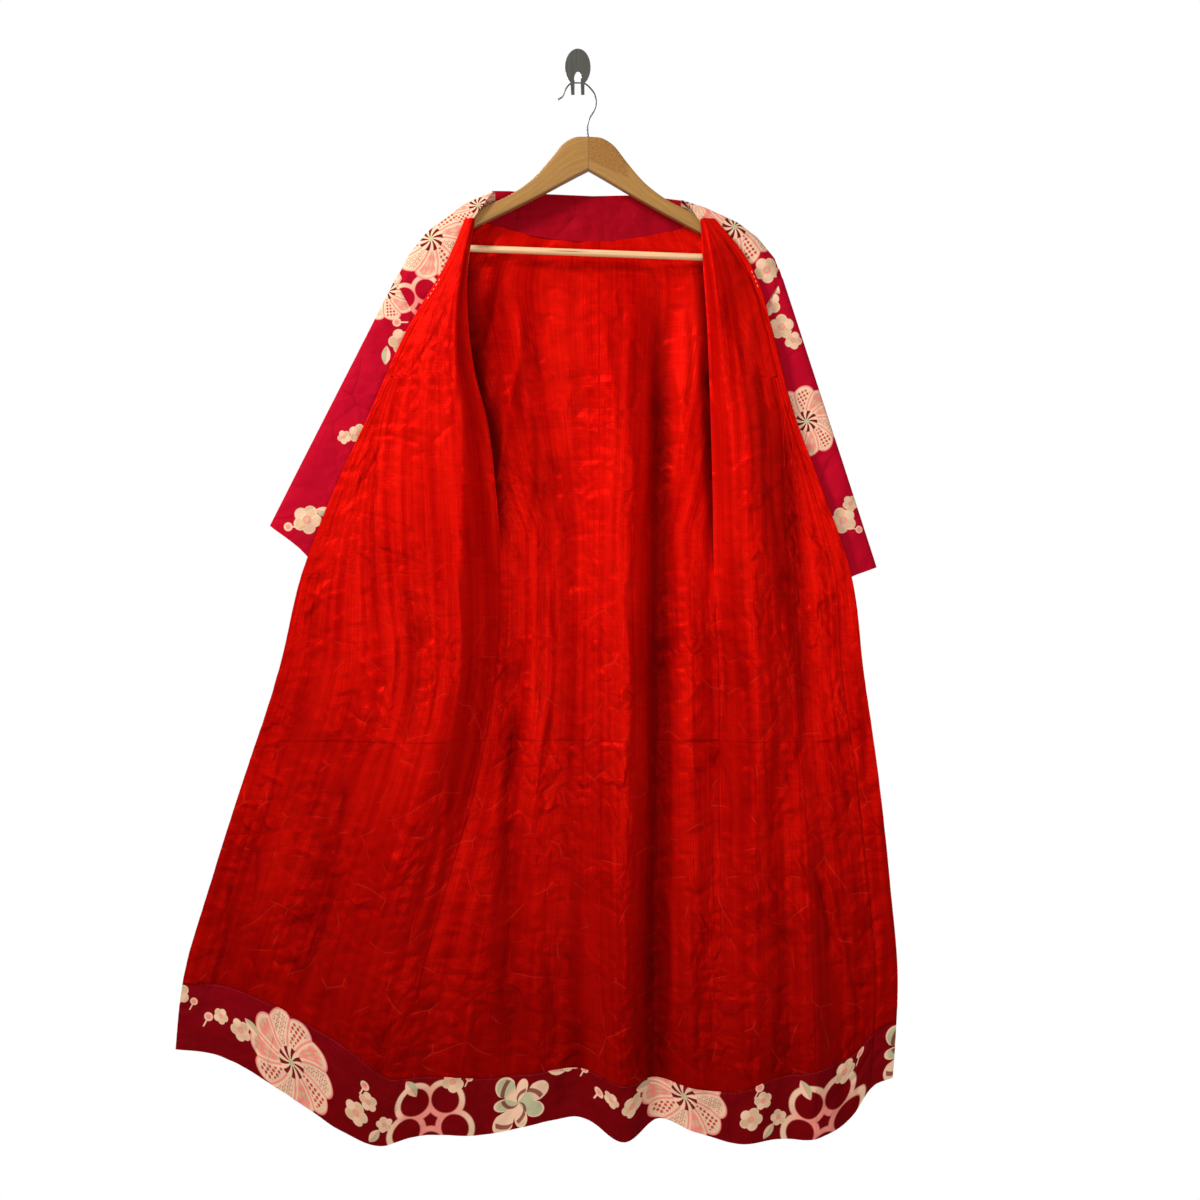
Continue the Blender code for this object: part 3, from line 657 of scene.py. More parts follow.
@dataclass(frozen=True)
class Wood(Finish):
    """Pale varnished wood: long grain, a dark joint, an end-grain patch, and painted shade on the lower
    edges.
    """

    name: str = "varnished wood"
    middle: float = 0.016
    pale: tuple = (0.40, 0.205, 0.052)
    dark: tuple = (0.24, 0.105, 0.023)
    patch: tuple = (0.24, 0.095, 0.014)

    def dress(self, loom: Loom, shader: bpy.types.Node) -> None:
        """Links the wood's grain, patch and varnish.

        Args:
            loom: The tree's maker.
            shader: The material's shader.
        """
        grain_place = loom.cut()
        solid = loom.solid()
        x, _, z = loom.split(solid)
        rise = loom.attribute("rise")
        grain = loom.noise(grain_place, 1.0, 4, (9.0, 160.0, 1.0))
        fine = loom.noise(grain_place, 1.0, 3, (60.0, 900.0, 1.0))
        share = grain.between(0.3, 0.7) * 0.65 + fine.between(0.3, 0.7) * 0.35
        colour = loom.mix(share * 0.8, self.pale, self.dark)
        beside = (x - 0.0165).between(0.0, 0.001) * (z + x * 0.45).between(-0.146, -0.141)
        edge = beside * (x * -1.0).between(-0.078, -0.07)
        speck = loom.noise(solid, 800.0, 2).between(0.5, 0.7)
        patch = loom.mix(speck, self.patch, (0.50, 0.27, 0.09))
        colour = loom.mix(edge * 0.9, colour, patch)
        # Painted shade: the arm's underside is darker
        colour = loom.mix(rise.below(-0.93, 0.12) * 0.75, colour, (0.24, 0.12, 0.035))
        joint = (x - self.middle).math("ABSOLUTE").below(0.0008, 0.0010)
        colour = loom.mix(joint * 0.75, colour, (0.20, 0.10, 0.03))
        self.set(
            shader,
            Base_Color=colour,
            Roughness=fine.between(0.3, 0.7, 0.46, 0.36),
            Normal=self.bump(loom, fine, 0.0004, 0.5),
            Specular_IOR_Level=0.25,
            Coat_Weight=0.07,
            Coat_Roughness=0.3,
        )


@dataclass(frozen=True)
class BarWood(Finish):
    """The bar's paler turned wood, with one dark knot streak."""

    name: str = "turned bar wood"

    def dress(self, loom: Loom, shader: bpy.types.Node) -> None:
        """Links the bar's grain and knot.

        Args:
            loom: The tree's maker.
            shader: The material's shader.
        """
        solid = loom.solid()
        x, _, z = loom.split(solid)
        grain = loom.noise(solid, 1.0, 4, (14.0, 500.0, 900.0))
        colour = loom.mix(grain.between(0.35, 0.65) * 0.45, (0.78, 0.50, 0.25), (0.55, 0.28, 0.10))
        near = (x + 0.012).math("ABSOLUTE").between(0.008, 0.034, 1.0, 0.0)
        thin = (z + x * 0.04 + 0.2843).math("ABSOLUTE").between(0.0, 0.0013, 1.0, 0.0)
        colour = loom.mix(near * thin * 0.9, colour, (0.10, 0.05, 0.02))
        self.set(
            shader,
            Base_Color=colour,
            Roughness=grain.between(0.3, 0.7, 0.5, 0.4),
            Normal=self.bump(loom, grain, 0.0003, 0.5),
            Coat_Weight=0.2,
            Coat_Roughness=0.3,
        )


@dataclass(frozen=True)
class Metal(Finish):
    """Metal with fine drawn or brushed lines."""

    name: str
    colour: tuple
    worn: tuple
    roughness: float
    lines: tuple

    def dress(self, loom: Loom, shader: bpy.types.Node) -> None:
        """Links the metal's brushing.

        Args:
            loom: The tree's maker.
            shader: The material's shader.
        """
        solid = loom.solid()
        brushed = loom.noise(solid, 1.0, 4, self.lines)
        soft = loom.noise(solid, 60.0, 2)
        share = brushed.between(0.3, 0.7) * 0.7 + soft * 0.3
        rough = share.between(0.0, 1.0, self.roughness + 0.08, self.roughness - 0.06)
        self.set(
            shader,
            Base_Color=loom.mix(share, self.colour, self.worn),
            Metallic=1.0,
            Roughness=rough,
            Normal=self.bump(loom, brushed, 0.0001, 0.5),
        )


@dataclass(frozen=True)
class Thread(Finish):
    """Twisted sewing silk."""

    name: str
    colour: tuple

    def dress(self, loom: Loom, shader: bpy.types.Node) -> None:
        """Links the thread's twist.

        Args:
            loom: The tree's maker.
            shader: The material's shader.
        """
        solid = loom.solid()
        twist = loom.noise(solid, 2600.0, 1)
        dim = tuple(0.7 * c for c in self.colour)
        self.set(
            shader,
            Base_Color=loom.mix(twist, dim, self.colour),
            Roughness=0.7,
            Specular_IOR_Level=0.1,
            Normal=self.bump(loom, twist, 0.0001, 0.5),
        )


@dataclass(frozen=True)
class Pale(Finish):
    """The studio floor's plain matt white."""

    name: str = "pale floor"

    def dress(self, loom: Loom, shader: bpy.types.Node) -> None:
        """Sets one even colour."""
        self.set(shader, Base_Color=(0.60, 0.60, 0.59, 1.0), Roughness=0.8, Specular_IOR_Level=0.1)


LINING_SILK = LiningSilk()
PRINTED_SILK = PrintedSilk()
PLAIN_SILK = PrintedSilk("crimson plain silk", True, (0.34, 0.002, 0.010), (0.24, 0.001, 0.006))
ARM_WOOD = Wood()
BAR_WOOD = BarWood()
BRIGHT_WIRE = Metal("bright drawn wire", (0.10, 0.10, 0.10), (0.26, 0.26, 0.26), 0.30, (120, 900, 120))
GREY_PLATE = Metal("grey brushed plate", (0.075, 0.072, 0.062), (0.21, 0.20, 0.175), 0.42, (900, 300, 12))
CRIMSON_THREAD = Thread("crimson thread", (0.50, 0.03, 0.03))
RED_THREAD = Thread("red thread", (0.34, 0.003, 0.002))
WHITE_THREAD = Thread("white basting thread", (0.75, 0.62, 0.55))


# Numbers

LATTICE = 128


def smoothstep(low: float, high: float, value: Grid) -> Grid:
    """A soft step from 0 at low to 1 at high."""
    share = np.clip((value - low) / (high - low), 0, 1)
    return share * share * (3 - 2 * share)


def read(rows: tuple, key: str, column: str, at: Grid) -> Grid:
    """A smooth curve through one column of a table.

    Args:
        rows: The table.
        key: The column that is looked up.
        column: The column that is read.
        at: Where the key has these values.

    Returns:
        The column's values there.
    """
    rows = sorted(rows, key=lambda row: getattr(row, key))
    keys = np.array([getattr(row, key) for row in rows], float)
    values = np.array([getattr(row, column) for row in rows], float)
    slopes = np.gradient(values, keys)
    at = np.clip(np.asarray(at, float), keys[0], keys[-1])
    i = np.clip(np.searchsorted(keys, at) - 1, 0, len(keys) - 2)
    span = keys[i + 1] - keys[i]
    t = (at - keys[i]) / span
    ease = t * t * (3 - 2 * t)
    start = t * (1 - t) ** 2
    end = -t * t * (1 - t)
    return values[i] * (1 - ease) + values[i + 1] * ease + span * (slopes[i] * start + slopes[i + 1] * end)


def noise(x: Grid, z: Grid, cell_x: float, cell_z: float, seed: int) -> Grid:
    """Smooth random values from -1 to 1 on a lattice.

    Args:
        x: Places across, in millimetres.
        z: Places down, in millimetres.
        cell_x: The lattice's width.
        cell_z: The lattice's height.
        seed: Which lattice.

    Returns:
        The values.
    """
    lattice = np.random.default_rng(seed).uniform(-1, 1, (LATTICE, LATTICE))
    u, v = x / cell_x, z / cell_z
    i, k = np.floor(u).astype(int), np.floor(v).astype(int)
    a, b = u - i, v - k
    a, b = a * a * (3 - 2 * a), b * b * (3 - 2 * b)
    left, right, high, low = i % LATTICE, (i + 1) % LATTICE, k % LATTICE, (k + 1) % LATTICE
    near = lattice[left, high] * (1 - a) + lattice[right, high] * a
    far = lattice[left, low] * (1 - a) + lattice[right, low] * a
    return near * (1 - b) + far * b


# The hanging form, as the model's tables give it


@dataclass(frozen=True)
class Level:
    """Where the front edges and the seams cross one height."""

    z: float
    edge_left: float
    overlap_left: float
    side_left: float
    side_right: float
    overlap_right: float
    edge_right: float


@dataclass(frozen=True)
class BackSide:
    """Where the back panels end behind the fronts."""

    z: float
    left: float
    right: float


@dataclass(frozen=True)
class Hem:
    """The hem's height and the facing's, at one place across."""

    x: float
    z: float
    facing: float


@dataclass(frozen=True)
class Depths:
    """How far each part stands off the wall at one height."""

    z: float
    back: float
    side: float
    crest_left: float
    edge_left: float
    crest_right: float
    edge_right: float


@dataclass(frozen=True)
class Fold:
    """A large fold: a ridge where rise is above 0, a hollow where it is below."""

    name: str
    top_x: float
    top_z: float
    foot_x: float
    foot_z: float
    rise: float
    half_width: float


@dataclass(frozen=True)
class Crease:
    """A small crease between two points: a ridge where lift is above 0.

    It bows aside by a share of its length and fades out at both ends.
    """

    bow: ClassVar[float] = 0.05
    gain: ClassVar[float] = 1.6
    top_x: float
    top_z: float
    foot_x: float
    foot_z: float
    lift: float
    width: float

    def add(self, x: Grid, z: Grid, depth: Grid) -> None:
        """Adds the crease to a grid of depths.

        Args:
            x: Places across.
            z: Places down.
            depth: The depths, changed in place.
        """
        reach = 4 * self.width
        near = (x > min(self.top_x, self.foot_x) - reach) & (x < max(self.top_x, self.foot_x) + reach)
        near &= (z > min(self.top_z, self.foot_z) - reach) & (z < max(self.top_z, self.foot_z) + reach)
        if not near.any():
            return
        run = np.array((self.foot_x - self.top_x, self.foot_z - self.top_z), float)
        length = math.hypot(*run)
        run /= length
        along = (x[near] - self.top_x) * run[0] + (z[near] - self.top_z) * run[1]
        aside = (x[near] - self.top_x) * run[1] - (z[near] - self.top_z) * run[0]
        aside = aside + self.bow * length * np.sin(along / length * math.pi)
        end = min(0.45 * length, 5 * self.width)
        fade = smoothstep(-0.2 * end, end, along) * smoothstep(length + 0.2 * end, length - end, along)
        depth[near] += self.gain * self.lift * fade / (1 + (aside / self.width) ** 2 * 1.6) ** 1.5


@dataclass(frozen=True)
class Panel:
    """One of the body's six panels."""

    name: str
    left: str
    right: str
    top: float | None
    kind: str
    width: float


FRONT_TOP_Z = -240
OVERLAP_TOP_Z = -470
LINING_JOIN_Z = -1000
SIDE_SEAM_TOP_Z = -690
LEVELS = table(
    Level,
    (-228, -158, -158, -146, 178, 190, 190), (-300, -188, -188, -158, 182, 248, 248),
    (-400, -246, -246, -158, 189, 283, 283), (-470, -279, -262, -148, 192, 282, 300),
    (-520, -301, -278, -135, 194, 293, 315), (-640, -357, -290, -120, 198, 300, 359),
    (-750, -400, -286, -115, 200, 308, 397), (-900, -437, -275, -120, 208, 318, 418),
    (-1060, -490, -318, -147, 208, 330, 441), (-1200, -535, -372, -187, 209, 338, 457),
    (-1350, -577, -422, -228, 211, 344, 470), (-1450, -588, -447, -250, 216, 346, 466),
    (-1600, -594, -470, -270, 224, 348, 452),
)
BACK_SIDES = table(
    BackSide,
    (-240, -196, 236), (-325, -258, 292), (-400, -236, 281), (-520, -196, 251), (-640, -146, 218),
    (-690, -118, 199),
)
HEM = table(
    Hem,
    (-590, -1450, 97), (-525, -1460, 100), (-437, -1505, 106), (-341, -1564, 115), (-283, -1586, 100),
    (-247, -1575, 90), (-137, -1573, 82), (-34, -1553, 72), (14, -1551, 72), (69, -1580, 84),
    (118, -1552, 60), (172, -1567, 64), (232, -1583, 76), (284, -1577, 88), (352, -1575, 100),
    (406, -1544, 92), (430, -1509, 84), (462, -1494, 84),
)
DEPTHS = table(
    Depths,
    (-228, 25, 58, 64, 62, 64, 62), (-300, 25, 58, 78, 64, 74, 62), (-400, 24, 54, 86, 64, 78, 62),
    (-520, 24, 44, 86, 60, 78, 60), (-640, 26, 34, 80, 57, 74, 58), (-750, 30, 28, 73, 54, 68, 54),
    (-900, 36, 28, 65, 48, 62, 48), (-1060, 42, 34, 60, 44, 56, 44), (-1200, 46, 42, 58, 42, 54, 40),
    (-1350, 48, 47, 56, 40, 54, 36), (-1600, 50, 50, 56, 38, 54, 34),
)
FOLDS = table(
    Fold,
    ("left hem ridge", -225, -930, -283, -1590, 17, 60),
    ("left overlap fold", -282, -740, -440, -1420, -7, 20),
    ("left edge trough", -352, -640, -528, -1400, -6, 26),
    ("upper back ridge", -110, -330, -146, -500, 9, 20),
    ("second back ridge", -82, -350, -118, -640, 7, 18),
    ("left back valley", -98, -700, -92, -1500, -14, 24),
    ("centre left hollow", -34, -560, -14, -1590, -14, 34),
    ("centre ridge", 62, -440, 66, -1590, 17, 34),
    ("right back valley", 124, -330, 114, -1590, -17, 24),
    ("right back ridge", 163, -430, 172, -1590, 8, 24),
    ("right front ridge", 252, -520, 250, -1590, 13, 38),
    ("right front valley", 298, -520, 378, -1440, -11, 22),
    ("right hem ridge", 345, -1000, 352, -1590, 14, 34),
)
CREASES = table(
    Crease,
    (-263, -832, -309, -1070, 2.6, 8), (-309, -1070, -361, -1195, 2.6, 7),
    (-341, -1040, -418, -1392, -3.2, 10), (-280, -937, -351, -1138, 1.6, 5),
    (-351, -1138, -402, -1315, 1.5, 5), (-438, -993, -470, -1153, -1.8, 4),
    (-470, -1153, -488, -1287, -1.8, 4), (-508, -1195, -540, -1373, -1.8, 4),
    (-469, -1044, -422, -1068, 1.5, 4), (-501, -1090, -457, -1096, 1.5, 4),
    (-517, -1138, -480, -1164, 1.4, 4), (-480, -1013, -443, -999, 1.4, 4),
    (-527, -1182, -492, -1187, 1.3, 4), (-448, -938, -408, -961, 1.4, 4),
    (-543, -1235, -509, -1250, 1.2, 4), (-214, -851, -251, -1126, 2.0, 10),
    (-251, -1126, -327, -1431, 2.0, 11), (-176, -735, -187, -1025, 2.2, 9),
    (-187, -1025, -228, -1272, 1.8, 9), (-228, -793, -260, -1025, -2.0, 12),
    (-319, -1330, -257, -1356, 1.0, 3), (-257, -1356, -241, -1370, 1.0, 3),
    (-350, -1406, -289, -1438, 1.0, 3), (-330, -1272, -309, -1205, 1.0, 3),
    (-237, -1319, -190, -1360, 1.1, 3), (-370, -1351, -337, -1341, 0.9, 3),
    (-173, -448, -190, -544, 2.6, 7), (-190, -544, -203, -604, 2.2, 7), (-303, -554, -221, -570, -1.1, 3),
    (-321, -665, -228, -700, -1.1, 3), (-330, -718, -214, -744, -0.9, 3), (-295, -561, -303, -718, -0.8, 3),
    (-272, -564, -277, -723, -0.8, 3), (-242, -570, -251, -735, -0.8, 3), (-216, -576, -222, -744, -0.9, 3),
    (-395, -813, -356, -761, 1.8, 4), (-405, -839, -370, -793, -1.6, 4), (-376, -793, -327, -781, 1.5, 4),
    (-399, -778, -358, -802, 1.4, 4), (-408, -880, -358, -851, 1.4, 5), (-182, -358, -251, -474, -1.6, 4),
    (-251, -474, -344, -670, -1.4, 4), (-112, -323, -156, -454, 2.4, 7), (-84, -362, -105, -519, 2.4, 6),
    (-105, -519, -128, -635, 2.4, 6), (-164, -465, -148, -532, 1.8, 5), (-148, -532, -128, -639, 1.8, 5),
    (-135, -358, -147, -445, -2.4, 7), (-31, -532, -42, -793, 1.8, 9), (-42, -793, -57, -1025, 2.0, 9),
    (-68, -474, -77, -735, -1.8, 9), (-80, -735, -95, -938, -2.2, 9), (-95, -938, -108, -1083, -2.4, 9),
    (-147, -558, 33, -538, -0.8, 3), (-141, -604, 91, -593, -0.7, 3), (-112, -480, 106, -468, -0.6, 3),
    (-42, -706, 91, -697, -0.7, 3), (-138, -996, -68, -1002, -1.2, 3), (-25, -1112, -8, -1173, 1.2, 3),
    (-42, -1199, -10, -1245, 1.1, 3), (-48, -1235, -16, -1228, 1.1, 3), (-68, -1141, -45, -1170, 1.0, 3),
    (-35, -1073, -9, -1054, 1.0, 3), (-83, -1040, -42, -1031, 1.0, 3), (18, -1293, 33, -1337, 1.2, 3),
    (39, -1414, 79, -1437, 1.0, 3), (-156, -1315, -98, -1358, 1.2, 4), (-83, -1199, -100, -1373, 2.4, 8),
    (-45, -1315, -37, -1489, -2.2, 8), (-156, -1373, -182, -1504, 2.0, 8), (4, -1228, -3, -1431, 1.6, 8),
    (50, -1170, 65, -1388, 1.8, 8), (74, -532, 68, -793, 1.6, 8), (68, -793, 59, -1083, 2.0, 9),
    (42, -402, 42, -677, 1.2, 6), (143, -445, 137, -735, 2.0, 6), (164, -358, 153, -546, -2.2, 7),
    (140, -1006, 213, -1003, -1.5, 3), (178, -1013, 201, -1037, 1.6, 4), (201, -1037, 213, -1008, -1.5, 4),
    (143, -999, 195, -938, 1.5, 5), (137, -967, 184, -915, 1.4, 5), (164, -924, 210, -903, 1.4, 5),
    (213, -967, 250, -924, 1.4, 4), (208, -828, 210, -1000, -2.0, 4), (213, -1032, 222, -1157, -1.6, 4),
    (222, -1157, 237, -1214, 2.0, 5), (239, -1167, 230, -1235, 1.8, 4), (53, -1170, 85, -1179, 1.0, 3),
    (155, -1351, 201, -1358, 1.0, 3), (120, -1272, 143, -1315, 1.2, 4), (153, -1184, 178, -1228, 1.2, 4),
    (185, -256, 192, -474, 2.4, 6), (192, -474, 198, -822, 2.4, 6), (206, -535, 248, -500, 1.8, 5),
    (216, -616, 282, -574, 1.8, 5), (224, -673, 265, -645, 1.6, 5), (233, -561, 277, -538, -1.5, 5),
    (280, -604, 332, -593, 1.4, 4), (239, -735, 308, -718, 1.2, 4), (224, -402, 236, -735, 1.8, 9),
    (259, -445, 268, -604, -1.8, 8), (268, -604, 294, -851, -2.0, 9), (210, -265, 282, -402, -1.6, 4),
    (282, -402, 369, -692, -1.4, 4), (340, -648, 390, -706, 1.6, 4), (332, -692, 375, -744, -1.4, 4),
    (310, -1157, 336, -1221, 2.2, 5), (336, -1221, 364, -1279, 2.2, 5), (358, -1184, 378, -1272, 3.0, 6),
    (378, -1272, 394, -1341, 3.0, 6), (340, -1170, 369, -1315, -2.6, 6), (398, -1337, 413, -1416, -1.6, 4),
    (396, -1199, 462, -1205, 1.0, 3), (398, -1337, 454, -1327, 1.0, 3), (280, -1199, 340, -1279, 1.6, 5),
    (253, -1228, 323, -1315, -1.6, 5), (242, -1315, 294, -1388, 1.4, 5), (375, -1025, 436, -1083, 1.2, 5),
    (366, -938, 422, -996, 1.0, 5), (294, -793, 317, -1025, 2.0, 10), (390, -851, 407, -1083, 1.6, 10),
    (229, -851, 242, -1112, -1.8, 9), (127, -1199, 124, -1460, 2.2, 9), (164, -1228, 169, -1489, -1.6, 9),
    (288, -1388, 277, -1518, -1.8, 9), (243, -1373, 230, -1518, 1.8, 9),
)
SLEEVE_CREASES = table(
    Crease,
    (-373, -587, -321, -578, 1.5, 5), (-366, -544, -314, -552, 1.3, 5), (-404, -660, -330, -560, -1.4, 8),
    (-350, -500, -300, -470, 1.2, 6), (-420, -690, -350, -640, 1.2, 6), (-330, -440, -270, -360, -1.2, 7),
    (371, -604, 388, -662, 2.0, 6), (388, -662, 436, -735, 2.4, 6), (360, -560, 380, -640, -1.6, 6),
    (340, -470, 384, -500, 1.3, 5), (350, -430, 380, -470, 1.2, 5), (400, -640, 440, -720, -1.8, 5),
)
NECK_CROWN = ((-121, -100, -48, 23, 73, 130, 152), (-190, -190, -194, -197, -196, -201, -204))
NECK_CREASES = table(
    Crease,
    (-110, -232, 150, -226, -0.6, 3), (-60, -246, 60, -238, -0.7, 3), (-20, -252, 110, -230, 0.7, 3),
    (-100, -222, -10, -228, 0.6, 3), (40, -242, 120, -244, 0.6, 3),
)
PANELS = (
    Panel("overlap_left", "collar_left", "overlap_left", OVERLAP_TOP_Z, "left", 0.14),
    Panel("front_left", "front_left_edge", "side_left", FRONT_TOP_Z, "left", 0.21),
    Panel("back_left", "back_left", "centre", None, "back", 0.22),
    Panel("back_right", "centre", "back_right", None, "back", 0.22),
    Panel("front_right", "side_right", "front_right_edge", FRONT_TOP_Z, "right", 0.14),
    Panel("overlap_right", "overlap_right", "collar_right", OVERLAP_TOP_Z, "right", 0.10),
)
COLLARS = (
    Panel("collar_left", "edge_left", "collar_left", FRONT_TOP_Z, "left", 0.03),
    Panel("collar_right", "collar_right", "edge_right", FRONT_TOP_Z, "right", 0.03),
)
PANEL_CUTS = {
    "upper_lining_": ((0.085, 0.53), (0.15, 0.76), (0.2, 0.77), (0.21, 0.77), (0.12, 0.76), (0.055, 0.53)),
    "lower_lining_": ((0.115, 0.43), (0.175, 0.49), (0.235, 0.5), (0.195, 0.5), (0.135, 0.49), (0.09, 0.46)),
    "hem_facing_": ((0.115, 0.1), (0.21, 0.105), (0.31, 0.08), (0.185, 0.075), (0.125, 0.092), (0.09, 0.09)),
    "": ((0.103, 1.03), (0.165, 1.34), (0.225, 1.32), (0.207, 1.32), (0.126, 1.34), (0.073, 1.07)),
}
CUTS = {kind + panel.name: cut for kind, row in PANEL_CUTS.items() for panel, cut in zip(PANELS, row)}
CUTS |= {
    "collar_left": (0.0235, 1.28), "collar_right": (0.024, 1.3), "collar_back": (0.27, 0.058),
    "shoulder_left": (0.19, 0.1), "shoulder_right": (0.19, 0.1), "sleeve_left": (0.96, 0.21),
    "sleeve_right": (0.96, 0.165),
}


class Hang:
    """The form that the garment hangs in: lines over the wall, and depths in front of it."""

    seam_gap = 0.06
    fold_fade = 90
    band_narrow = 9
    band_widens = 24
    neck_x = 22
    neck_z = -264
    neck_bow = 0.0011
    neck_level = -238
    neck_half = 158
    neck_fall = 0.8
    crinkle_seed = 7
    crinkle_count = 620

    def __init__(self) -> None:
        """Scatters the small crinkles that come on top of the listed creases."""
        draw = np.random.default_rng(self.crinkle_seed)
        crinkles = []
        for _ in range(self.crinkle_count):
            x, z = draw.uniform(-560, 450), draw.uniform(-1560, -300)
            length = draw.uniform(14, 62)
            upright = draw.random() < 0.35
            turn = draw.normal(math.pi / 2 if upright else 0.15, 0.35 if upright else 0.5)
            lift = draw.choice((-1, 1)) * draw.uniform(0.5, 1.5)
            foot = (x + length * math.cos(turn), z + length * math.sin(turn))
            crinkles.append(Crease(x, z, *foot, lift, draw.uniform(2.6, 4.6)))
        self.creases = (*CREASES, *crinkles)

    def collar_width(self, z: Grid) -> Grid:
        """The folded neckband's width down a front's edge."""
        return self.band_narrow + self.band_widens * smoothstep(-500, -950, z)

    def line(self, name: str, z: Grid) -> Grid:
        """The x of one of the body's seams or edges.

        Args:
            name: The line.
            z: The heights.

        Returns:
            Its place across at each height.
        """
        if name == "centre":
            return 33 + 10 * smoothstep(-1300, -1600, z)
        if name == "collar_left":
            return read(LEVELS, "z", "edge_left", z) + self.collar_width(z)
        if name == "collar_right":
            return read(LEVELS, "z", "edge_right", z) - self.collar_width(z)
        if name == "front_left_edge":
            band = self.line("collar_left", z)
            joined = np.maximum(band, self.line("overlap_left", z))
            return np.where(np.asarray(z) > OVERLAP_TOP_Z, band, joined)
        if name == "front_right_edge":
            band = self.line("collar_right", z)
            joined = np.minimum(band, self.line("overlap_right", z))
            return np.where(np.asarray(z) > OVERLAP_TOP_Z, band, joined)
        if name in ("back_left", "back_right"):
            hand = name[5:]
            low = read(LEVELS, "z", "side_" + hand, z)
            return np.where(np.asarray(z) <= SIDE_SEAM_TOP_Z, low, read(BACK_SIDES, "z", hand, z))
        return read(LEVELS, "z", name, z)

    def back_top(self, x: Grid) -> Grid:
        """The neckband's seam across the back."""
        bowed = np.minimum(self.neck_z + self.neck_bow * (x - self.neck_x) ** 2, self.neck_level)
        return bowed - self.neck_fall * np.maximum(0, np.abs(x - self.neck_x) - self.neck_half)

    def folds(self, x: Grid, z: Grid) -> Grid:
        """What the largest folds add to the depth.

        Args:
            x: Places across.
            z: Places down.

        Returns:
            Millimetres.
        """
        total = np.zeros_like(x)
        for fold in FOLDS:
            share = np.clip((fold.top_z - z) / (fold.top_z - fold.foot_z), 0, 1)
            axis = fold.top_x + (fold.foot_x - fold.top_x) * share
            fade = smoothstep(fold.top_z + self.fold_fade, fold.top_z - self.fold_fade, z)
            fade = fade * smoothstep(fold.foot_z - self.fold_fade, fold.foot_z + self.fold_fade, z)
            total += fold.rise * fade * np.exp(-(((x - axis) / fold.half_width) ** 2))
        return total

    def depth(self, kind: str, x: Grid, z: Grid) -> Grid:
        """The depth of the lining's face, without its small creases.

        Args:
            kind: back, left or right.
            x: Places across.
            z: Places down.

        Returns:
            Millimetres in front of the wall.
        """
        side = read(DEPTHS, "z", "side", z)
        if kind != "back":
            side_x, edge_x = self.line("side_" + kind, z), self.line("edge_" + kind, z)
            share = np.clip((x - side_x) / (edge_x - side_x), 0, 1)
            crest, edge = read(DEPTHS, "z", "crest_" + kind, z), read(DEPTHS, "z", "edge_" + kind, z)
            slope = (crest - side) * smoothstep(0, 0.2, share) + (edge - crest) * smoothstep(0.2, 1, share)
            return side + slope + self.folds(x, z) * smoothstep(-330, -480, z)
        base = read(DEPTHS, "z", "back", z)
        joined = smoothstep(SIDE_SEAM_TOP_Z, SIDE_SEAM_TOP_Z - 100, z)
        tucked = smoothstep(-400, -480, z) * (1 - joined)
        inside = np.minimum(x - self.line("side_left", z), self.line("side_right", z) - x)
        near = np.exp(-((np.maximum(0, inside) / 32) ** 2))
        behind = 7 * tucked * smoothstep(15, -10, inside)
        return base + (side - base) * near * joined - behind + self.folds(x, z) * smoothstep(-25, 0, inside)

    def detail(self, x: Grid, z: Grid) -> Grid:
        """The creases, crinkles and soft ripples that lie on the form.

        Args:
            x: Places across.
            z: Places down.

        Returns:
            Millimetres.
        """
        bent_x = x + 9 * noise(x, z, 70, 110, 11)
        bent_z = z + 12 * noise(x, z, 80, 90, 12)
        busy = 0.55 + 0.45 * noise(x, z, 170, 210, 13)
        total = 2.2 * noise(bent_x, bent_z, 34, 460, 14) + 1.3 * noise(bent_x, bent_z, 17, 260, 15)
        turned = bent_x * 0.86 + bent_z * 0.5
        aside = bent_z * 0.86 - bent_x * 0.5
        total += busy * 1.25 * (1 - 2.2 * np.abs(noise(turned, aside, 44, 26, 16)))
        total += busy * 0.9 * (1 - 2.2 * np.abs(noise(bent_x, bent_z, 30, 15, 17)))
        total += busy * 0.6 * (1 - 2.2 * np.abs(noise(aside, turned, 19, 12, 18)))
        for crease in self.creases:
            crease.add(x, z, total)
        return total

    def hollow(self, kind: str, x: Grid, z: Grid) -> Grid:
        """How deep in a fold each place lies, from 0 on a ridge to 1 in a valley, for the silk's painted
        shade.

        Args:
            kind: back, left or right.
            x: Places across.
            z: Places down.

        Returns:
            The share.
        """
        here = self.folds(x, z)
        around = sum(self.folds(x + step, z) for step in (-60, -32, 32, 60)) / 4
        small = np.clip(-self.detail(x, z) / 9, -0.1, 0.45)
        share = np.clip(0.9 * smoothstep(1.0, 24.0, around - here) + small, 0, 1)
        # On the back, painted shadow beside the fronts' edges, where the fronts stand in front of the back
        if kind == "back":
            left, right = x - self.line("side_left", z), self.line("side_right", z) - x
            high = smoothstep(-760, -600, z)
            share = np.maximum(share, high * 0.9 * smoothstep(34, 0, left) * smoothstep(-262, -330, z))
            share = np.maximum(share, high * 0.85 * smoothstep(20, 0, right) * smoothstep(-262, -330, z))
        return share

    def across(self, panel: Panel, share: Grid, z: Grid) -> Grid:
        """The x at this share of a panel's width, clear of its neighbours.

        Args:
            panel: The panel.
            share: Shares of its width.
            z: Places down.

        Returns:
            The places across.
        """
        left = self.line(panel.left, z) + self.seam_gap / 2
        right = self.line(panel.right, z) - self.seam_gap / 2
        return left + (right - left) * share

    def hem(self, panel: Panel, share: Grid) -> Grid:
        """The hem's height at each share of a panel's width.

        Args:
            panel: The panel.
            share: Shares of its width.

        Returns:
            The heights.
        """
        z = np.full_like(share, -1540)
        for _ in range(8):
            z = read(HEM, "x", "z", self.across(panel, share, z))
        return z

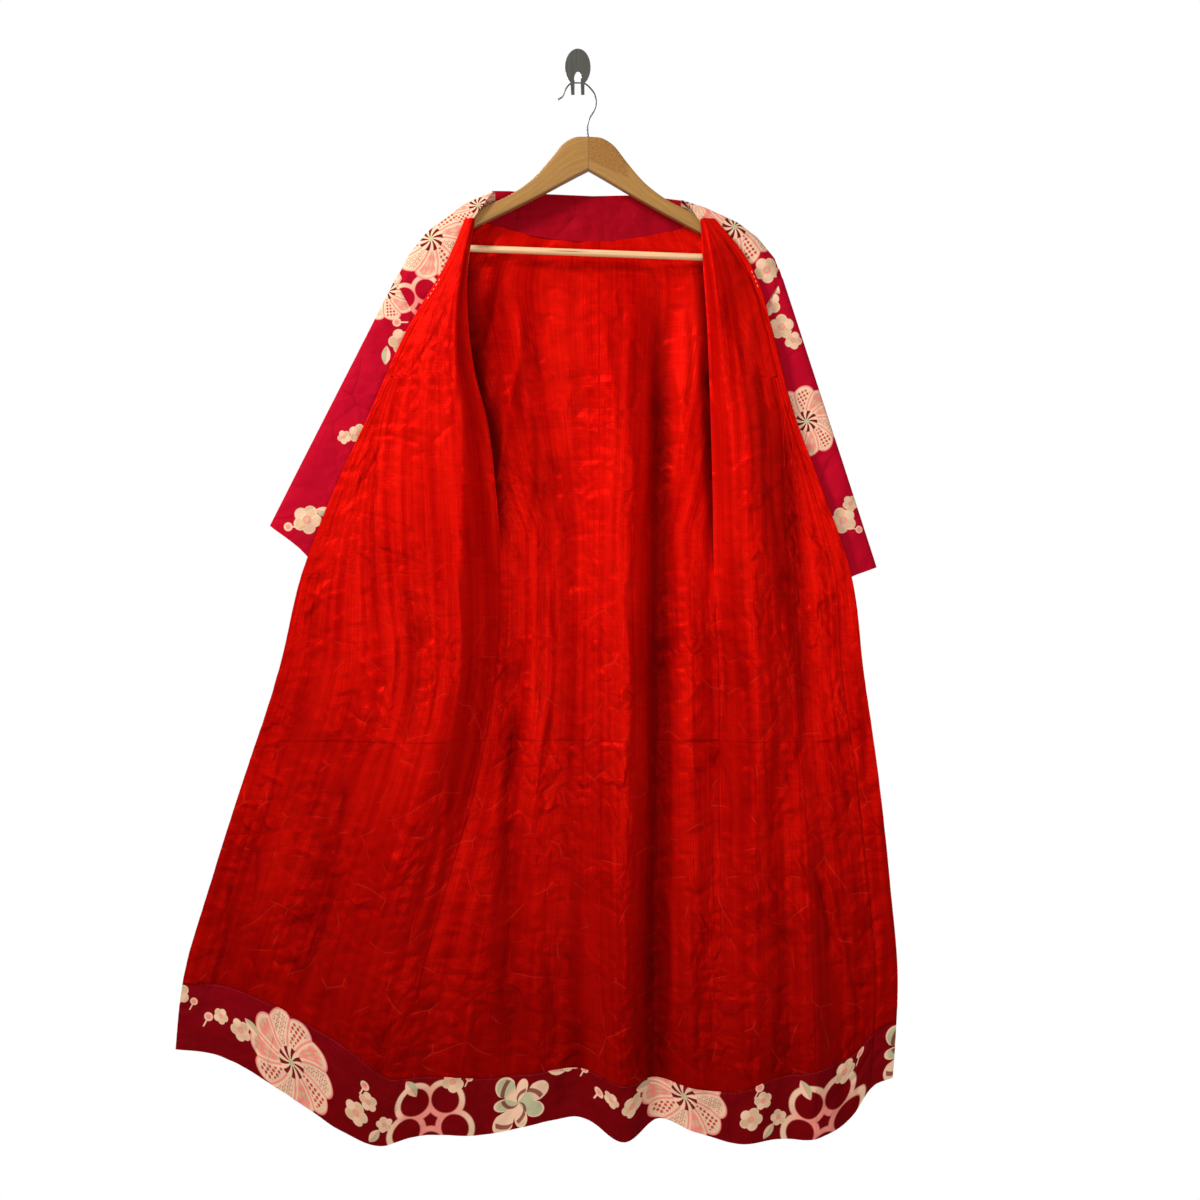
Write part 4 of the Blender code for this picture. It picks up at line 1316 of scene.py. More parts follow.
    def top(self, panel: Panel, share: Grid) -> Grid:
        """The panel's upper end at each share of its width.

        Args:
            panel: The panel.
            share: Shares of its width.

        Returns:
            The heights.
        """
        top = np.full_like(share, FRONT_TOP_Z if panel.top is None else panel.top)
        if panel.top is None:
            for _ in range(8):
                top = self.back_top(self.across(panel, share, top))
        return top

    def facing_top(self, panel: Panel, share: Grid) -> Grid:
        """The seam above the hem's facing."""
        foot = self.hem(panel, share)
        return foot + read(HEM, "x", "facing", self.across(panel, share, foot))

    def ends(self, panel: Panel, share: Grid, stretch: Stretch | None) -> tuple[Grid, Grid]:
        """Where a stretch of a panel starts and ends; None is the whole panel.

        Args:
            panel: The panel.
            share: Shares of its width.
            stretch: Which stretch.

        Returns:
            The upper and the lower heights.
        """
        half = self.seam_gap / 2
        if stretch is Stretch.UPPER:
            return self.top(panel, share), np.full_like(share, LINING_JOIN_Z + half)
        if stretch is Stretch.LOWER:
            return np.full_like(share, LINING_JOIN_Z - half), self.facing_top(panel, share) + half
        if stretch is Stretch.FACING:
            return self.facing_top(panel, share) - half, self.hem(panel, share)
        return self.top(panel, share), self.hem(panel, share)


HANG = Hang()


# Meshes


def lift(x: Grid, z: Grid, depth: Grid) -> Grid:
    """Points over the wall, in metres."""
    return np.stack((x * MM, -depth * MM, z * MM), axis=-1)


def stand(name: str, data: bpy.types.ID) -> bpy.types.Object:
    """Puts new data into the scene as an object.

    Args:
        name: Its name.
        data: The mesh, light or camera.

    Returns:
        The object.
    """
    made = bpy.data.objects.new(name, data)
    bpy.context.collection.objects.link(made)
    return made


def closed(name: str, points: Grid, faces: list, finishes: tuple[Finish, ...]) -> bpy.types.Mesh:
    """A smooth mesh with its finishes, its faces turned outwards.

    Args:
        name: The mesh's name.
        points: Its points, in metres.
        faces: Each face's points.
        finishes: Its finishes.

    Returns:
        The mesh.
    """
    made = bpy.data.meshes.new(name)
    made.from_pydata(points.reshape(-1, 3).tolist(), [], faces)
    for finish in finishes:
        made.materials.append(finish.made())
    shaped = bmesh.new()
    shaped.from_mesh(made)
    bmesh.ops.recalc_face_normals(shaped, faces=shaped.faces)
    shaped.to_mesh(made)
    shaped.free()
    made.polygons.foreach_set("use_smooth", np.ones(len(made.polygons), dtype=bool))
    return made


def unfold(mesh: bpy.types.Mesh, name: str, places: Grid) -> None:
    """Gives a mesh a UV map from one place for each point.

    Args:
        mesh: The mesh.
        name: Its name.
        places: Each point's place on the map, in metres.
    """
    corners = np.empty(len(mesh.loops), dtype=np.int32)
    mesh.loops.foreach_get("vertex_index", corners)
    layer = mesh.uv_layers.new(name=name)
    layer.data.foreach_set("uv", places.reshape(-1, 2)[corners].ravel().astype(np.float32))


def note(mesh: bpy.types.Mesh, name: str, kind: str, domain: str, values: Grid) -> None:
    """Writes a named attribute onto a mesh's points or edges."""
    mesh.attributes.new(name, kind, domain).data.foreach_set("value", values)


@dataclass
class Shell:
    """A thin closed shell between two grids of points; a ring's last column meets its first."""

    front: Grid
    back: Grid
    uv: Grid
    ring: bool = False
    back_slot: int = 0
    hollow: Grid | None = None
    front_slots: Grid | None = None

    def mesh(self, name: str, finishes: tuple[Finish, ...]) -> bpy.types.Object:
        """Builds the shell.

        Args:
            name: The piece's name.
            finishes: The front's finish, and the back's where it differs.

        Returns:
            The new object.
        """
        columns, rows = self.front.shape[:2]
        count = columns * rows
        number = np.arange(count).reshape(columns, rows)
        following = np.roll(number, -1, axis=0)
        last = columns if self.ring else columns - 1
        a, b = number[:last, :-1], following[:last, :-1]
        c, d = following[:last, 1:], number[:last, 1:]
        face = np.stack((a, d, c, b), axis=-1).reshape(-1, 4)
        rims = []
        for k, flip in ((0, 1), (rows - 1, -1)):
            e, f = number[:last, k], following[:last, k]
            rims.append(np.stack((e, f, f + count, e + count), axis=-1)[:, ::flip])
        if not self.ring:
            for i, flip in ((0, -1), (columns - 1, 1)):
                e, f = number[i, :-1], number[i, 1:]
                rims.append(np.stack((e, f, f + count, e + count), axis=-1)[:, ::flip])
        faces = np.concatenate((face, face[:, ::-1] + count, *rims))
        made = closed(name, np.stack((self.front, self.back)), faces.tolist(), finishes)
        slots = np.zeros(len(faces), dtype=np.int32)
        slots[len(face) : 2 * len(face)] = self.back_slot
        if self.front_slots is not None:
            slots[: len(face)] = self.front_slots[:last, :-1].ravel()
        made.polygons.foreach_set("material_index", slots)
        unfold(made, "Cut", np.stack((self.uv, self.uv)))
        # The hollow attribute carries painted shade into the silk's colour
        if self.hollow is not None:
            note(made, "hollow", "FLOAT", "POINT", np.tile(self.hollow.ravel(), 2).astype(np.float32))
        border = np.zeros((columns, rows), dtype=bool)
        border[:, [0, -1]] = True
        border[[0, -1]] |= not self.ring
        border = np.tile(border.ravel(), 2)
        ends = np.empty(2 * len(made.edges), dtype=np.int32)
        made.edges.foreach_get("vertices", ends)
        start, end = ends.reshape(-1, 2).T
        crisp = border[start] & border[end] & (start // count == end // count)
        note(made, "sharp_edge", "BOOLEAN", "EDGE", crisp)
        made.update()
        return stand(name, made)


def declare(piece: bpy.types.Object, slot: Slot, *nodes: str) -> bpy.types.Object:
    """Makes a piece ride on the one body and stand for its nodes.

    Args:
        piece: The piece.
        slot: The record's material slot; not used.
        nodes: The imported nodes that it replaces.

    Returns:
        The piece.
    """
    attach(piece, "root")
    if nodes:
        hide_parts(*nodes)
    LOG.info("%s: %d faces", piece.name, len(piece.data.polygons))
    return piece


@dataclass
class Body:
    """The six panels: lining and hem facing in front, printed silk behind, and the neckband's fronts."""

    cell: float = 3.5
    outer_cell: float = 8.0
    lining_wall: float = 0.5
    outer_near: float = 1.45
    outer_far: float = 2.1
    lap: float = 1.6
    outer_lap: float = 0.7
    u_start: float = 0.5165
    v_start: float = 0.038
    tucked: float = 0.35
    probe: float = 3
    steepest: float = 2.6
    band_length: float = 1300
    band_half: float = 1.25
    ruck: float = 0.7

    def grid(self, panel: Panel, stretch: Stretch | None, cell: float) -> tuple[Grid, Grid, Grid, Grid]:
        """Lays a panel's grid over the wall.

        Args:
            panel: The panel.
            stretch: Which stretch, or None for all of it.
            cell: The cells' size in millimetres.

        Returns:
            x, z, the shares across and the height above the hem.
        """
        columns = max(3, round(panel.width / MM / cell))
        lap = (self.outer_lap if stretch is None else self.lap) / (panel.width / MM)
        share = np.append(np.linspace(0, 1, columns + 1), (1 + 0.2 * lap, 1 + lap))
        top, foot = HANG.ends(panel, share, stretch)
        rows = max(6, round(float(np.mean(top - foot)) / cell))
        run = np.linspace(0, 1, rows + 1)
        if stretch in (Stretch.UPPER, Stretch.LOWER):
            under = self.lap / float(np.mean(top - foot))
            run = np.append(run, (1 + 0.2 * under, 1 + under))
        z = top[:, None] + (foot - top)[:, None] * run[None, :]
        shares = np.broadcast_to(share[:, None], z.shape)
        x = HANG.across(panel, shares, z)
        return x, z, shares, z - HANG.hem(panel, share)[:, None]

    def tuck(self, depth: Grid, stretch: Stretch | None) -> None:
        """Turns a panel's laps under its neighbours; the outer cloth's turn towards the lining.

        Args:
            depth: The panel's depths, changed in place.
            stretch: Which stretch, or None for all of it.
        """
        by = self.tucked if stretch is None else -self.tucked
        depth[-2:] += by
        if stretch in (Stretch.UPPER, Stretch.LOWER):
            depth[:, -2:] += by

    def surface(self, panel: Panel, x: Grid, z: Grid, spread: float = 0.0) -> tuple[Grid, Grid]:
        """The face's depth, and how much deeper a sloping wall is.

        Args:
            panel: The panel.
            x: Places across.
            z: Places down.
            spread: How far around the deepest crease counts, so that a coarse grid stays behind a fine one.

        Returns:
            The depth with its creases, and the stretch factor.
        """
        kind, step = panel.kind, self.probe
        form = HANG.depth(kind, x, z)
        slope_x = (HANG.depth(kind, x + step, z) - HANG.depth(kind, x - step, z)) / (2 * step)
        slope_z = (HANG.depth(kind, x, z + step) - HANG.depth(kind, x, z - step)) / (2 * step)
        factor = np.minimum(self.steepest, np.sqrt(1 + slope_x**2 + slope_z**2))
        calm = smoothstep(-245, -290, z) if panel.kind != "back" else 1.0
        around = ((0, 0), (-1, 0), (1, 0), (0, -1), (0, 1)) if spread else ((0, 0),)
        detail = np.minimum.reduce([HANG.detail(x + spread * a, z + spread * b) for a, b in around])
        return form + detail * calm, factor

    def build(self) -> None:
        """Builds every panel."""
        offset = 0.0
        for panel in PANELS:
            for stretch in Stretch:
                self.lining(panel, stretch, offset)
            self.outer(panel)
            offset += panel.width
        for band in COLLARS:
            self.collar(band)

    def lining(self, panel: Panel, stretch: Stretch, offset: float) -> None:
        """One stretch of a panel's inner side.

        Args:
            panel: The panel.
            stretch: Which stretch.
            offset: Where the panel starts across the lining's UV map.
        """
        x, z, share, high = self.grid(panel, stretch, self.cell)
        depth, factor = self.surface(panel, x, z)
        self.tuck(depth, stretch)
        facing = stretch is Stretch.FACING
        if facing:
            uv = np.stack((x * MM + self.u_start, high * MM + self.v_start), axis=-1)
        else:
            uv = np.stack((share * panel.width + offset, z * MM), axis=-1)
        # How much painted fold shade each point gets
        hollow = HANG.hollow(panel.kind, x, z)
        shell = Shell(lift(x, z, depth), lift(x, z, depth - self.lining_wall * factor), uv, hollow=hollow)
        node = stretch.value + "_" + panel.name
        piece = shell.mesh(node + "_silk", (PRINTED_SILK if facing else LINING_SILK,))
        declare(piece, Slot.OUTER if facing else Slot.LINING, node)

    def outer(self, panel: Panel) -> None:
        """A panel's printed outer cloth, behind its lining.

        Args:
            panel: The panel.
        """
        x, z, _, high = self.grid(panel, None, self.outer_cell)
        depth, factor = self.surface(panel, x, z, self.outer_cell * 0.7)
        self.tuck(depth, None)
        near, far = depth - self.outer_near * factor, depth - self.outer_far * factor
        step = np.hypot(np.diff(x, axis=0), np.diff(depth, axis=0))
        run = np.concatenate((np.zeros((1, x.shape[1])), np.cumsum(step, axis=0)))
        uv = np.stack(((run + x[:1, -1:]) * MM + self.u_start, high * MM + self.v_start), axis=-1)
        piece = Shell(lift(x, z, near), lift(x, z, far), uv).mesh(panel.name + "_silk", (PRINTED_SILK,))
        declare(piece, Slot.OUTER, panel.name)

    def collar(self, band: Panel) -> None:
        """The folded neckband down one front's edge: red inside, printed outside.

        Args:
            band: Which front's band.
        """
        share = np.linspace(0, 1, 9)
        top, foot = HANG.ends(band, share, None)
        run = np.linspace(0, 1, round(self.band_length / self.cell) + 1)
        z = top[:, None] + (foot - top)[:, None] * run[None, :]
        shares = np.broadcast_to(share[:, None], z.shape)
        x = HANG.across(band, shares, z)
        depth, factor = self.surface(band, x, z)
        round_off = np.sqrt(np.clip(4 * shares * (1 - shares), 0, 1)) ** 0.6
        half = self.band_half * factor * (0.35 + 0.65 * round_off)
        ruck = self.ruck * noise(x + z * 0.8, z, 60, 13, 31) * round_off * smoothstep(-300, -420, z)
        middle = depth - 1.2 * factor
        faced = z < HANG.facing_top(band, share)[:, None]
        high = z - HANG.hem(band, share)[:, None]
        lined = np.stack((shares * band.width, z * MM), axis=-1)
        printed = np.stack((x * MM + self.u_start, high * MM + self.v_start), axis=-1)
        uv = np.where(faced[..., None], printed, lined)
        shell = Shell(lift(x, z, middle + half + ruck), lift(x, z, middle - half), uv, back_slot=1)
        # Painted fold shade, weaker on the band
        shell.hollow = HANG.hollow(band.kind, x, z) * 0.6
        shell.front_slots = np.where(faced, 1, 0)
        piece = shell.mesh(band.name + "_silk", (LINING_SILK, PRINTED_SILK))
        declare(piece, Slot.OUTER, band.name)


@dataclass(frozen=True)
class Outline:
    """One row of a shoulder: its outline, and where its cloth ends under the front."""

    x: float
    z: float
    front_x: float
    front_z: float


@dataclass(frozen=True)
class SleeveRow:
    """A sleeve at one share of its drop, at the armhole and at the cuff."""

    run: float
    armhole_x: float
    armhole_z: float
    cuff_x: float
    cuff_z: float


SHOULDERS = {
    Side.LEFT: table(
        Outline,
        (-121, -194, -134, -214), (-163, -211, -150, -236), (-195, -234, -172, -270),
        (-221, -254, -190, -300), (-248, -288, -208, -345), (-267, -325, -226, -400),
    ),
    Side.RIGHT: table(
        Outline,
        (152, -207, 166, -224), (187, -218, 180, -244), (235, -240, 206, -276), (264, -262, 224, -306),
        (289, -292, 240, -350), (300, -322, 254, -400),
    ),
}
SLEEVES = {
    Side.LEFT: table(
        SleeveRow,
        (0.00, -267.1, -325.3, -451, -684), (0.10, -248, -370, -405, -719), (0.25, -224, -440, -368, -775),
        (0.55, -202, -600, -346, -905), (1.00, -192, -790, -338, -1120),
    ),
    Side.RIGHT: table(
        SleeveRow,
        (0.00, 300.1, -322.3, 439, -745), (0.10, 280, -366, 396, -762), (0.25, 262, -436, 366, -800),
        (0.55, 246, -596, 350, -925), (1.00, 236, -790, 340, -1130),
    ),
}


# Where each one's cloth lies in the print's repeat
SHOULDER_PRINT = {Side.LEFT: (0.7585, 0.5817), Side.RIGHT: (0.316, 0.564)}
SLEEVE_PRINT = {Side.LEFT: (0.024, 0.362), Side.RIGHT: (0.040, 0.2227)}


def rounded(run: Grid, reach: float) -> Grid:
    """A fold's profile: 0 at the fold, 1 once it is this far away."""
    return np.sqrt(np.clip(run / reach, 0, 1))


@dataclass
class Shoulders:
    """The body's cloth over the hanger's ends."""

    columns: int = 56
    rows: int = 15
    closer: float = 1.8
    wall: float = 0.9
    back_lap: float = 44
    back_depth: float = 20.8
    front_depths: tuple = (54, 50)
    rounding: float = 16

    def build(self) -> None:
        """Builds both shoulders."""
        for side in Side:
            self.shoulder(side)

    def shoulder(self, side: Side) -> None:
        """One shoulder: up the back, round the outline and down under the front.

        Args:
            side: Which side.
        """
        rows = SHOULDERS[side]
        at = np.linspace(0, len(rows) - 1, self.columns + 1)
        whole = np.arange(len(rows))
        read_off = ([getattr(row, name) for row in rows] for name in ("x", "z", "front_x", "front_z"))
        x, z, front_x, front_z = (np.interp(at, whole, column)[:, None] for column in read_off)
        share = (at / at[-1])[:, None]
        front_depth = self.front_depths[0] + (self.front_depths[1] - self.front_depths[0]) * share
        middle = (front_depth + self.back_depth) / 2
        fine = np.linspace(0, 1, self.rows) ** self.closer
        stops = np.concatenate((-fine[::-1], fine[1:]))[None, :]
        behind = stops < 0
        end_x, end_z = np.where(behind, x, front_x), np.where(behind, z - self.back_lap, front_z)
        end_depth = np.where(behind, self.back_depth, front_depth)
        length = np.hypot(end_x - x, end_z - z)
        run = np.abs(stops) * length
        puff = np.where(behind, 0, 1) * smoothstep(0, 0.3, np.abs(stops))
        sign = np.where(end_depth > middle, 1, -1)
        half = np.abs(end_depth - middle) * rounded(run, self.rounding)
        px, pz = x + (end_x - x) * np.abs(stops), z + (end_z - z) * np.abs(stops)
        crease = 0.8 * noise(px + pz, pz, 22, 60, 41) + 0.5 * noise(px, pz, 12, 25, 42)
        inset = smoothstep(0.0, 0.06, share) * smoothstep(1.0, 0.94, share)
        outer = lift(px, pz, middle + sign * half + crease * puff * inset)
        run_in = np.maximum(run, self.wall)
        half_in = np.maximum(0, half - self.wall)
        qx, qz = x + (end_x - x) * run_in / length, z + (end_z - z) * run_in / length
        inner = lift(qx, qz, middle + sign * half_in + crease * puff * inset)
        u0, v0 = SHOULDER_PRINT[side]
        lean = np.where(behind, 2 * z - pz, pz)
        uv = np.stack((px * MM + u0, lean * MM + v0), axis=-1)
        piece = Shell(outer, inner, uv).mesh("shoulder_" + side.value + "_silk", (PRINTED_SILK,))
        declare(piece, Slot.OUTER, "shoulder_" + side.value)


@dataclass
class Sleeves:
    """The two sleeves: flat tubes, open at the cuff and towards the body."""

    rows: int = 96
    around: int = 60
    half: float = 7
    wall: float = 0.9
    drop: float = 480
    rounding: float = 14

    def build(self) -> None:
        """Builds both sleeves."""
        for side in Side:
            self.sleeve(side)

    def middle(self, z: Grid) -> Grid:
        """The sleeve's mid depth at each height."""
        return np.interp(z, (-1130, -780, -600, -325), (24, 33, 39, 43))

    def lay(self, side: Side, run: Grid, share: Grid) -> tuple[Grid, Grid]:
        """Places on the wall for shares of the drop and of the length.

        Args:
            side: Which sleeve.
            run: Shares of the drop.
            share: Shares from armhole to cuff.

        Returns:
            x and z.
        """
        rows = SLEEVES[side]
        names = ("armhole_x", "armhole_z", "cuff_x", "cuff_z")
        a_x, a_z, c_x, c_z = (read(rows, "run", name, run) for name in names)
        return a_x + (c_x - a_x) * share, a_z + (c_z - a_z) * share

    def sleeve(self, side: Side) -> None:
        """One sleeve.

        Args:
            side: Which side.
        """
        fine = (1 - np.cos(np.linspace(0, math.pi, self.around // 2 + 1))) / 2
        run = np.concatenate((fine, fine[-2:0:-1]))[:, None]
        sign = np.concatenate((np.ones(len(fine)), -np.ones(len(fine) - 2)))[:, None]
        share = np.concatenate(([-0.035, -0.02, -0.008], np.linspace(0, 1, self.rows + 1)))[None, :]
        run, share = np.broadcast_arrays(run, share)
        tuck = smoothstep(0.0, -0.008, share)
        x, z = self.lay(side, np.clip(run, 0.012 * tuck, 1), share)
        profile = rounded(np.minimum(run, 1 - run) * self.drop, self.rounding)
        ripple = 1.1 * noise(x + 0.5 * z, z, 24, 120, 51)
        ripple += 0.7 * (1 - 2 * np.abs(noise(x, z + 0.6 * x, 40, 22, 52)))
        for crease in SLEEVE_CREASES:
            crease.add(x, z, ripple)
        ripple *= smoothstep(0.0, 0.05, share) * smoothstep(0, 0.04, run) * smoothstep(1, 0.96, run)
        half = self.half * profile * (1 - 0.3 * tuck)
        inner_half = np.maximum(0.0, half - self.wall)
        outer = lift(x, z, self.middle(z) + sign * half + ripple)
        inset = self.wall / self.drop
        x_in, z_in = self.lay(side, np.clip(run, inset, 1 - inset), share)
        inner = lift(x_in, z_in, self.middle(z_in) + sign * inner_half + ripple)
        u0, v0 = SLEEVE_PRINT[side]
        fold = SLEEVES[side][0]
        down = np.array((fold.cuff_x - fold.armhole_x, fold.cuff_z - fold.armhole_z))
        down /= np.linalg.norm(down)
        off_x, off_z = (x - fold.armhole_x) * MM, (z - fold.armhole_z) * MM
        along = off_x * down[0] + off_z * down[1]
        aside = np.abs(off_x * down[1] - off_z * down[0])
        uv = np.stack((along + u0, v0 - aside), axis=-1)
        piece = Shell(outer, inner, uv, ring=True).mesh("sleeve_" + side.value + "_silk", (PRINTED_SILK,))
        declare(piece, Slot.OUTER, "sleeve_" + side.value)


@dataclass
class Neckband:
    """The folded band across the back of the neck."""

    left: float = -126
    right: float = 157
    columns: int = 110
    rows: int = 22
    depth: float = 25
    dip: float = 3
    half: float = 1.2

    def build(self) -> None:
        """Builds the band with its pressed edge and long creases."""
        along = np.linspace(0, 1, self.columns + 1)[:, None]
        share = np.linspace(1, 0, self.rows + 1)[None, :]
        along, share = np.broadcast_arrays(along, share)
        x = self.left + (self.right - self.left) * along
        low = HANG.back_top(x) - 0.9
        crown = np.interp(x, NECK_CROWN[0], NECK_CROWN[1])
        z = low + (crown - low) * share
        depth = self.depth - self.dip * share * share * (1 - np.abs(2 * along - 1) ** 3)
        crease = 0.35 * noise(x, z, 46, 9, 61) + 0.25 * noise(x + z, z, 20, 6, 62)
        for one in NECK_CREASES:
            one.add(x, z, crease)
        crease *= smoothstep(0, 0.08, share) * smoothstep(1, 0.9, share)
        pinch = 0.5 + 0.5 * np.sqrt(np.clip(4 * share * (1 - share), 0, 1)) ** 0.5
        middle = depth - 1.3 + 0.9 * smoothstep(0.1, 0.0, share)
        front = lift(x, z, middle + self.half * pinch + crease)
        back = lift(x, z, middle - self.half * pinch + crease)
        uv = np.stack((x * MM, z * MM), axis=-1)
        piece = Shell(front, back, uv).mesh("collar_back_silk", (PLAIN_SILK,))
        declare(piece, Slot.OUTER, "collar_back")


@dataclass(frozen=True)
class ArmRow:
    """A hanger arm's height range at one reach from the centre."""

    reach: float
    top: float
    low: float


@dataclass(frozen=True)
class WireTurn:
    """One turn of the wire hook."""

    x: float
    z: float


ARM = table(
    ArmRow,
    (0, -116, -165), (22, -118.5, -177), (38, -129, -186), (54, -149, -195), (78, -177, -208),
    (110, -202, -225), (150, -222, -245), (185, -243, -263), (205, -250, -276),
)
WIRE = table(
    WireTurn,
    (16, -117.1), (14.8, -107), (15.0, -97), (18.0, -87.5), (23.2, -79), (26.8, -70), (27.0, -60),
    (23, -49), (12, -37.8), (1, -36.2), (-10, -37.2), (-17, -45), (-22, -56), (-29, -61),
)


@dataclass
class Hanger:
    """The wooden hanger: two arms, the round bar and the wire hook."""

    middle_x: float = 16
    depth: float = 40
    thick: float = 18
    tip_reach: float = 221
    tip_low: float = -288
    tip_thick: float = 12
    tip_clear: float = 6.25
    tilt: float = 0.03
    sides: int = 48
    squareness: float = 0.34
    bar_radius: float = 5
    bar_ends: tuple = ((-192.2, -277), (228.4, -293))
    wire_radius: float = 1.2
    wire_steps: int = 10

    def build(self) -> None:
        """Builds the four pieces."""
        for side in Side:
            self.arm(side)
        self.bar()
        self.wire()

    def arm(self, side: Side) -> None:
        """One arm: flat wood with softly rounded edges, in smooth curves from joint to tip.

        Args:
            side: Which side.
        """
        facing = side.facing
        outline = SHOULDERS[side]
        tip_x = self.middle_x + facing * self.tip_reach
        crown = float(read(outline, "x", "z", tip_x)) - self.tip_clear
        tilt = self.tilt * facing
        rows = [ArmRow(row.reach, row.top - tilt * row.reach, row.low - tilt * row.reach) for row in ARM]
        rows.append(ArmRow(self.tip_reach, crown, self.tip_low - tilt * self.tip_reach))
        reach = np.concatenate((np.linspace(0, 205, 83), np.linspace(207, self.tip_reach, 6)))
        top, low = read(rows, "reach", "top", reach), read(rows, "reach", "low", reach)
        wide = np.interp(reach, (0, 205, self.tip_reach), (self.thick, self.thick - 4, self.tip_thick))
        turn = 2 * math.pi * (np.arange(self.sides) + 0.5) / self.sides
        cos, sin = np.cos(turn), np.sin(turn)
        across = np.sign(cos) * np.abs(cos) ** self.squareness
        rise = np.sign(sin) * np.abs(sin) ** self.squareness
        x = self.middle_x + facing * (reach + 0.01)
        x = np.broadcast_to(x[:, None], (len(reach), self.sides))
        z = ((top + low) / 2)[:, None] + rise[None, :] * ((top - low) / 2)[:, None]
        depth = self.depth + across[None, :] * wide[:, None] / 2
        made = self.loft("hanger_arm_" + side.value + "_wood", lift(x, z, depth), ARM_WOOD)
        grain = np.hypot(np.diff(x[:, 0]), np.diff((top + low) / 2))
        run = np.concatenate(((0.0,), np.cumsum(grain)))
        up = rise[None, :] * (top - low)[:, None] / 2 + across * 7
        unfold(made.data, "Grain", np.stack(np.broadcast_arrays(run[:, None] * MM, up * MM), axis=-1))
        high = np.broadcast_to(rise[None, :], x.shape).ravel().astype(np.float32)
        note(made.data, "rise", "FLOAT", "POINT", high)
        declare(made, Slot.WOOD, "hanger_arm_" + side.value)

    def loft(self, name: str, rings: Grid, finish: Finish) -> bpy.types.Object:
        """A closed solid through rings of points.

        Args:
            name: The piece's name.
            rings: Points, ring by ring.
            finish: Its finish.

        Returns:
            The new object.
        """
        count, sides = rings.shape[:2]
        number = np.arange(count * sides).reshape(count, sides)
        after = np.roll(number, -1, axis=1)
        faces = np.stack((number[:-1], after[:-1], after[1:], number[1:]), axis=-1).reshape(-1, 4).tolist()
        faces += [number[0, ::-1].tolist(), number[-1].tolist()]
        mesh = closed(name, rings, faces, (finish,))
        for end in mesh.polygons[-2:]:
            end.use_smooth = False
        rings_of = [(edge.vertices[0] // sides, edge.vertices[1] // sides) for edge in mesh.edges]
        note(mesh, "sharp_edge", "BOOLEAN", "EDGE", [a == b and a in (0, count - 1) for a, b in rings_of])
        return stand(name, mesh)

    def tube(self, name: str, line: Grid, radius: float, finish: Finish, sides: int = 20) -> bpy.types.Object:
        """A round rod on a line that lies in a plane facing the viewer.

        Args:
            name: The piece's name.
            line: Points as (x, z) rows.
            radius: The rod's radius.
            finish: Its finish.
            sides: Its sides.

        Returns:
            The new object.
        """
        run = np.gradient(line, axis=0)
        run /= np.linalg.norm(run, axis=1)[:, None]
        turn = 2 * math.pi * np.arange(sides) / sides
        aside = radius * np.cos(turn)[None, :]
        x = line[:, :1] + run[:, 1:] * aside
        z = line[:, 1:] - run[:, :1] * aside
        depth = np.broadcast_to(self.depth + radius * np.sin(turn)[None, :], x.shape)
        return self.loft(name, lift(x, z, depth), finish)

    def bar(self) -> None:
        """The turned bar."""
        start, end = np.array(self.bar_ends, float)
        line = start + (end - start) * np.linspace(0, 1, 40)[:, None]
        declare(self.tube("hanger_bar_wood", line, self.bar_radius, BAR_WOOD, 28), Slot.WOOD, "hanger_bar")

    def wire(self) -> None:
        """The wire hook on one smooth line."""
        points = np.array([(turn.x, turn.z) for turn in WIRE], float)
        padded = np.concatenate((points[:1], points, points[-1:]))
        line = []
        for i in range(len(points) - 1):
            a, b, c, d = padded[i : i + 4]
            for t in np.arange(self.wire_steps) / self.wire_steps:
                bend = 2 * a - 5 * b + 4 * c - d + t * (3 * (b - c) + d - a)
                line.append(b + 0.5 * t * ((c - a) + t * bend))
        line.append(points[-1])
        piece = self.tube("hanger_wire_steel", np.array(line), self.wire_radius, BRIGHT_WIRE)
        declare(piece, Slot.WIRE, "hanger_wire")


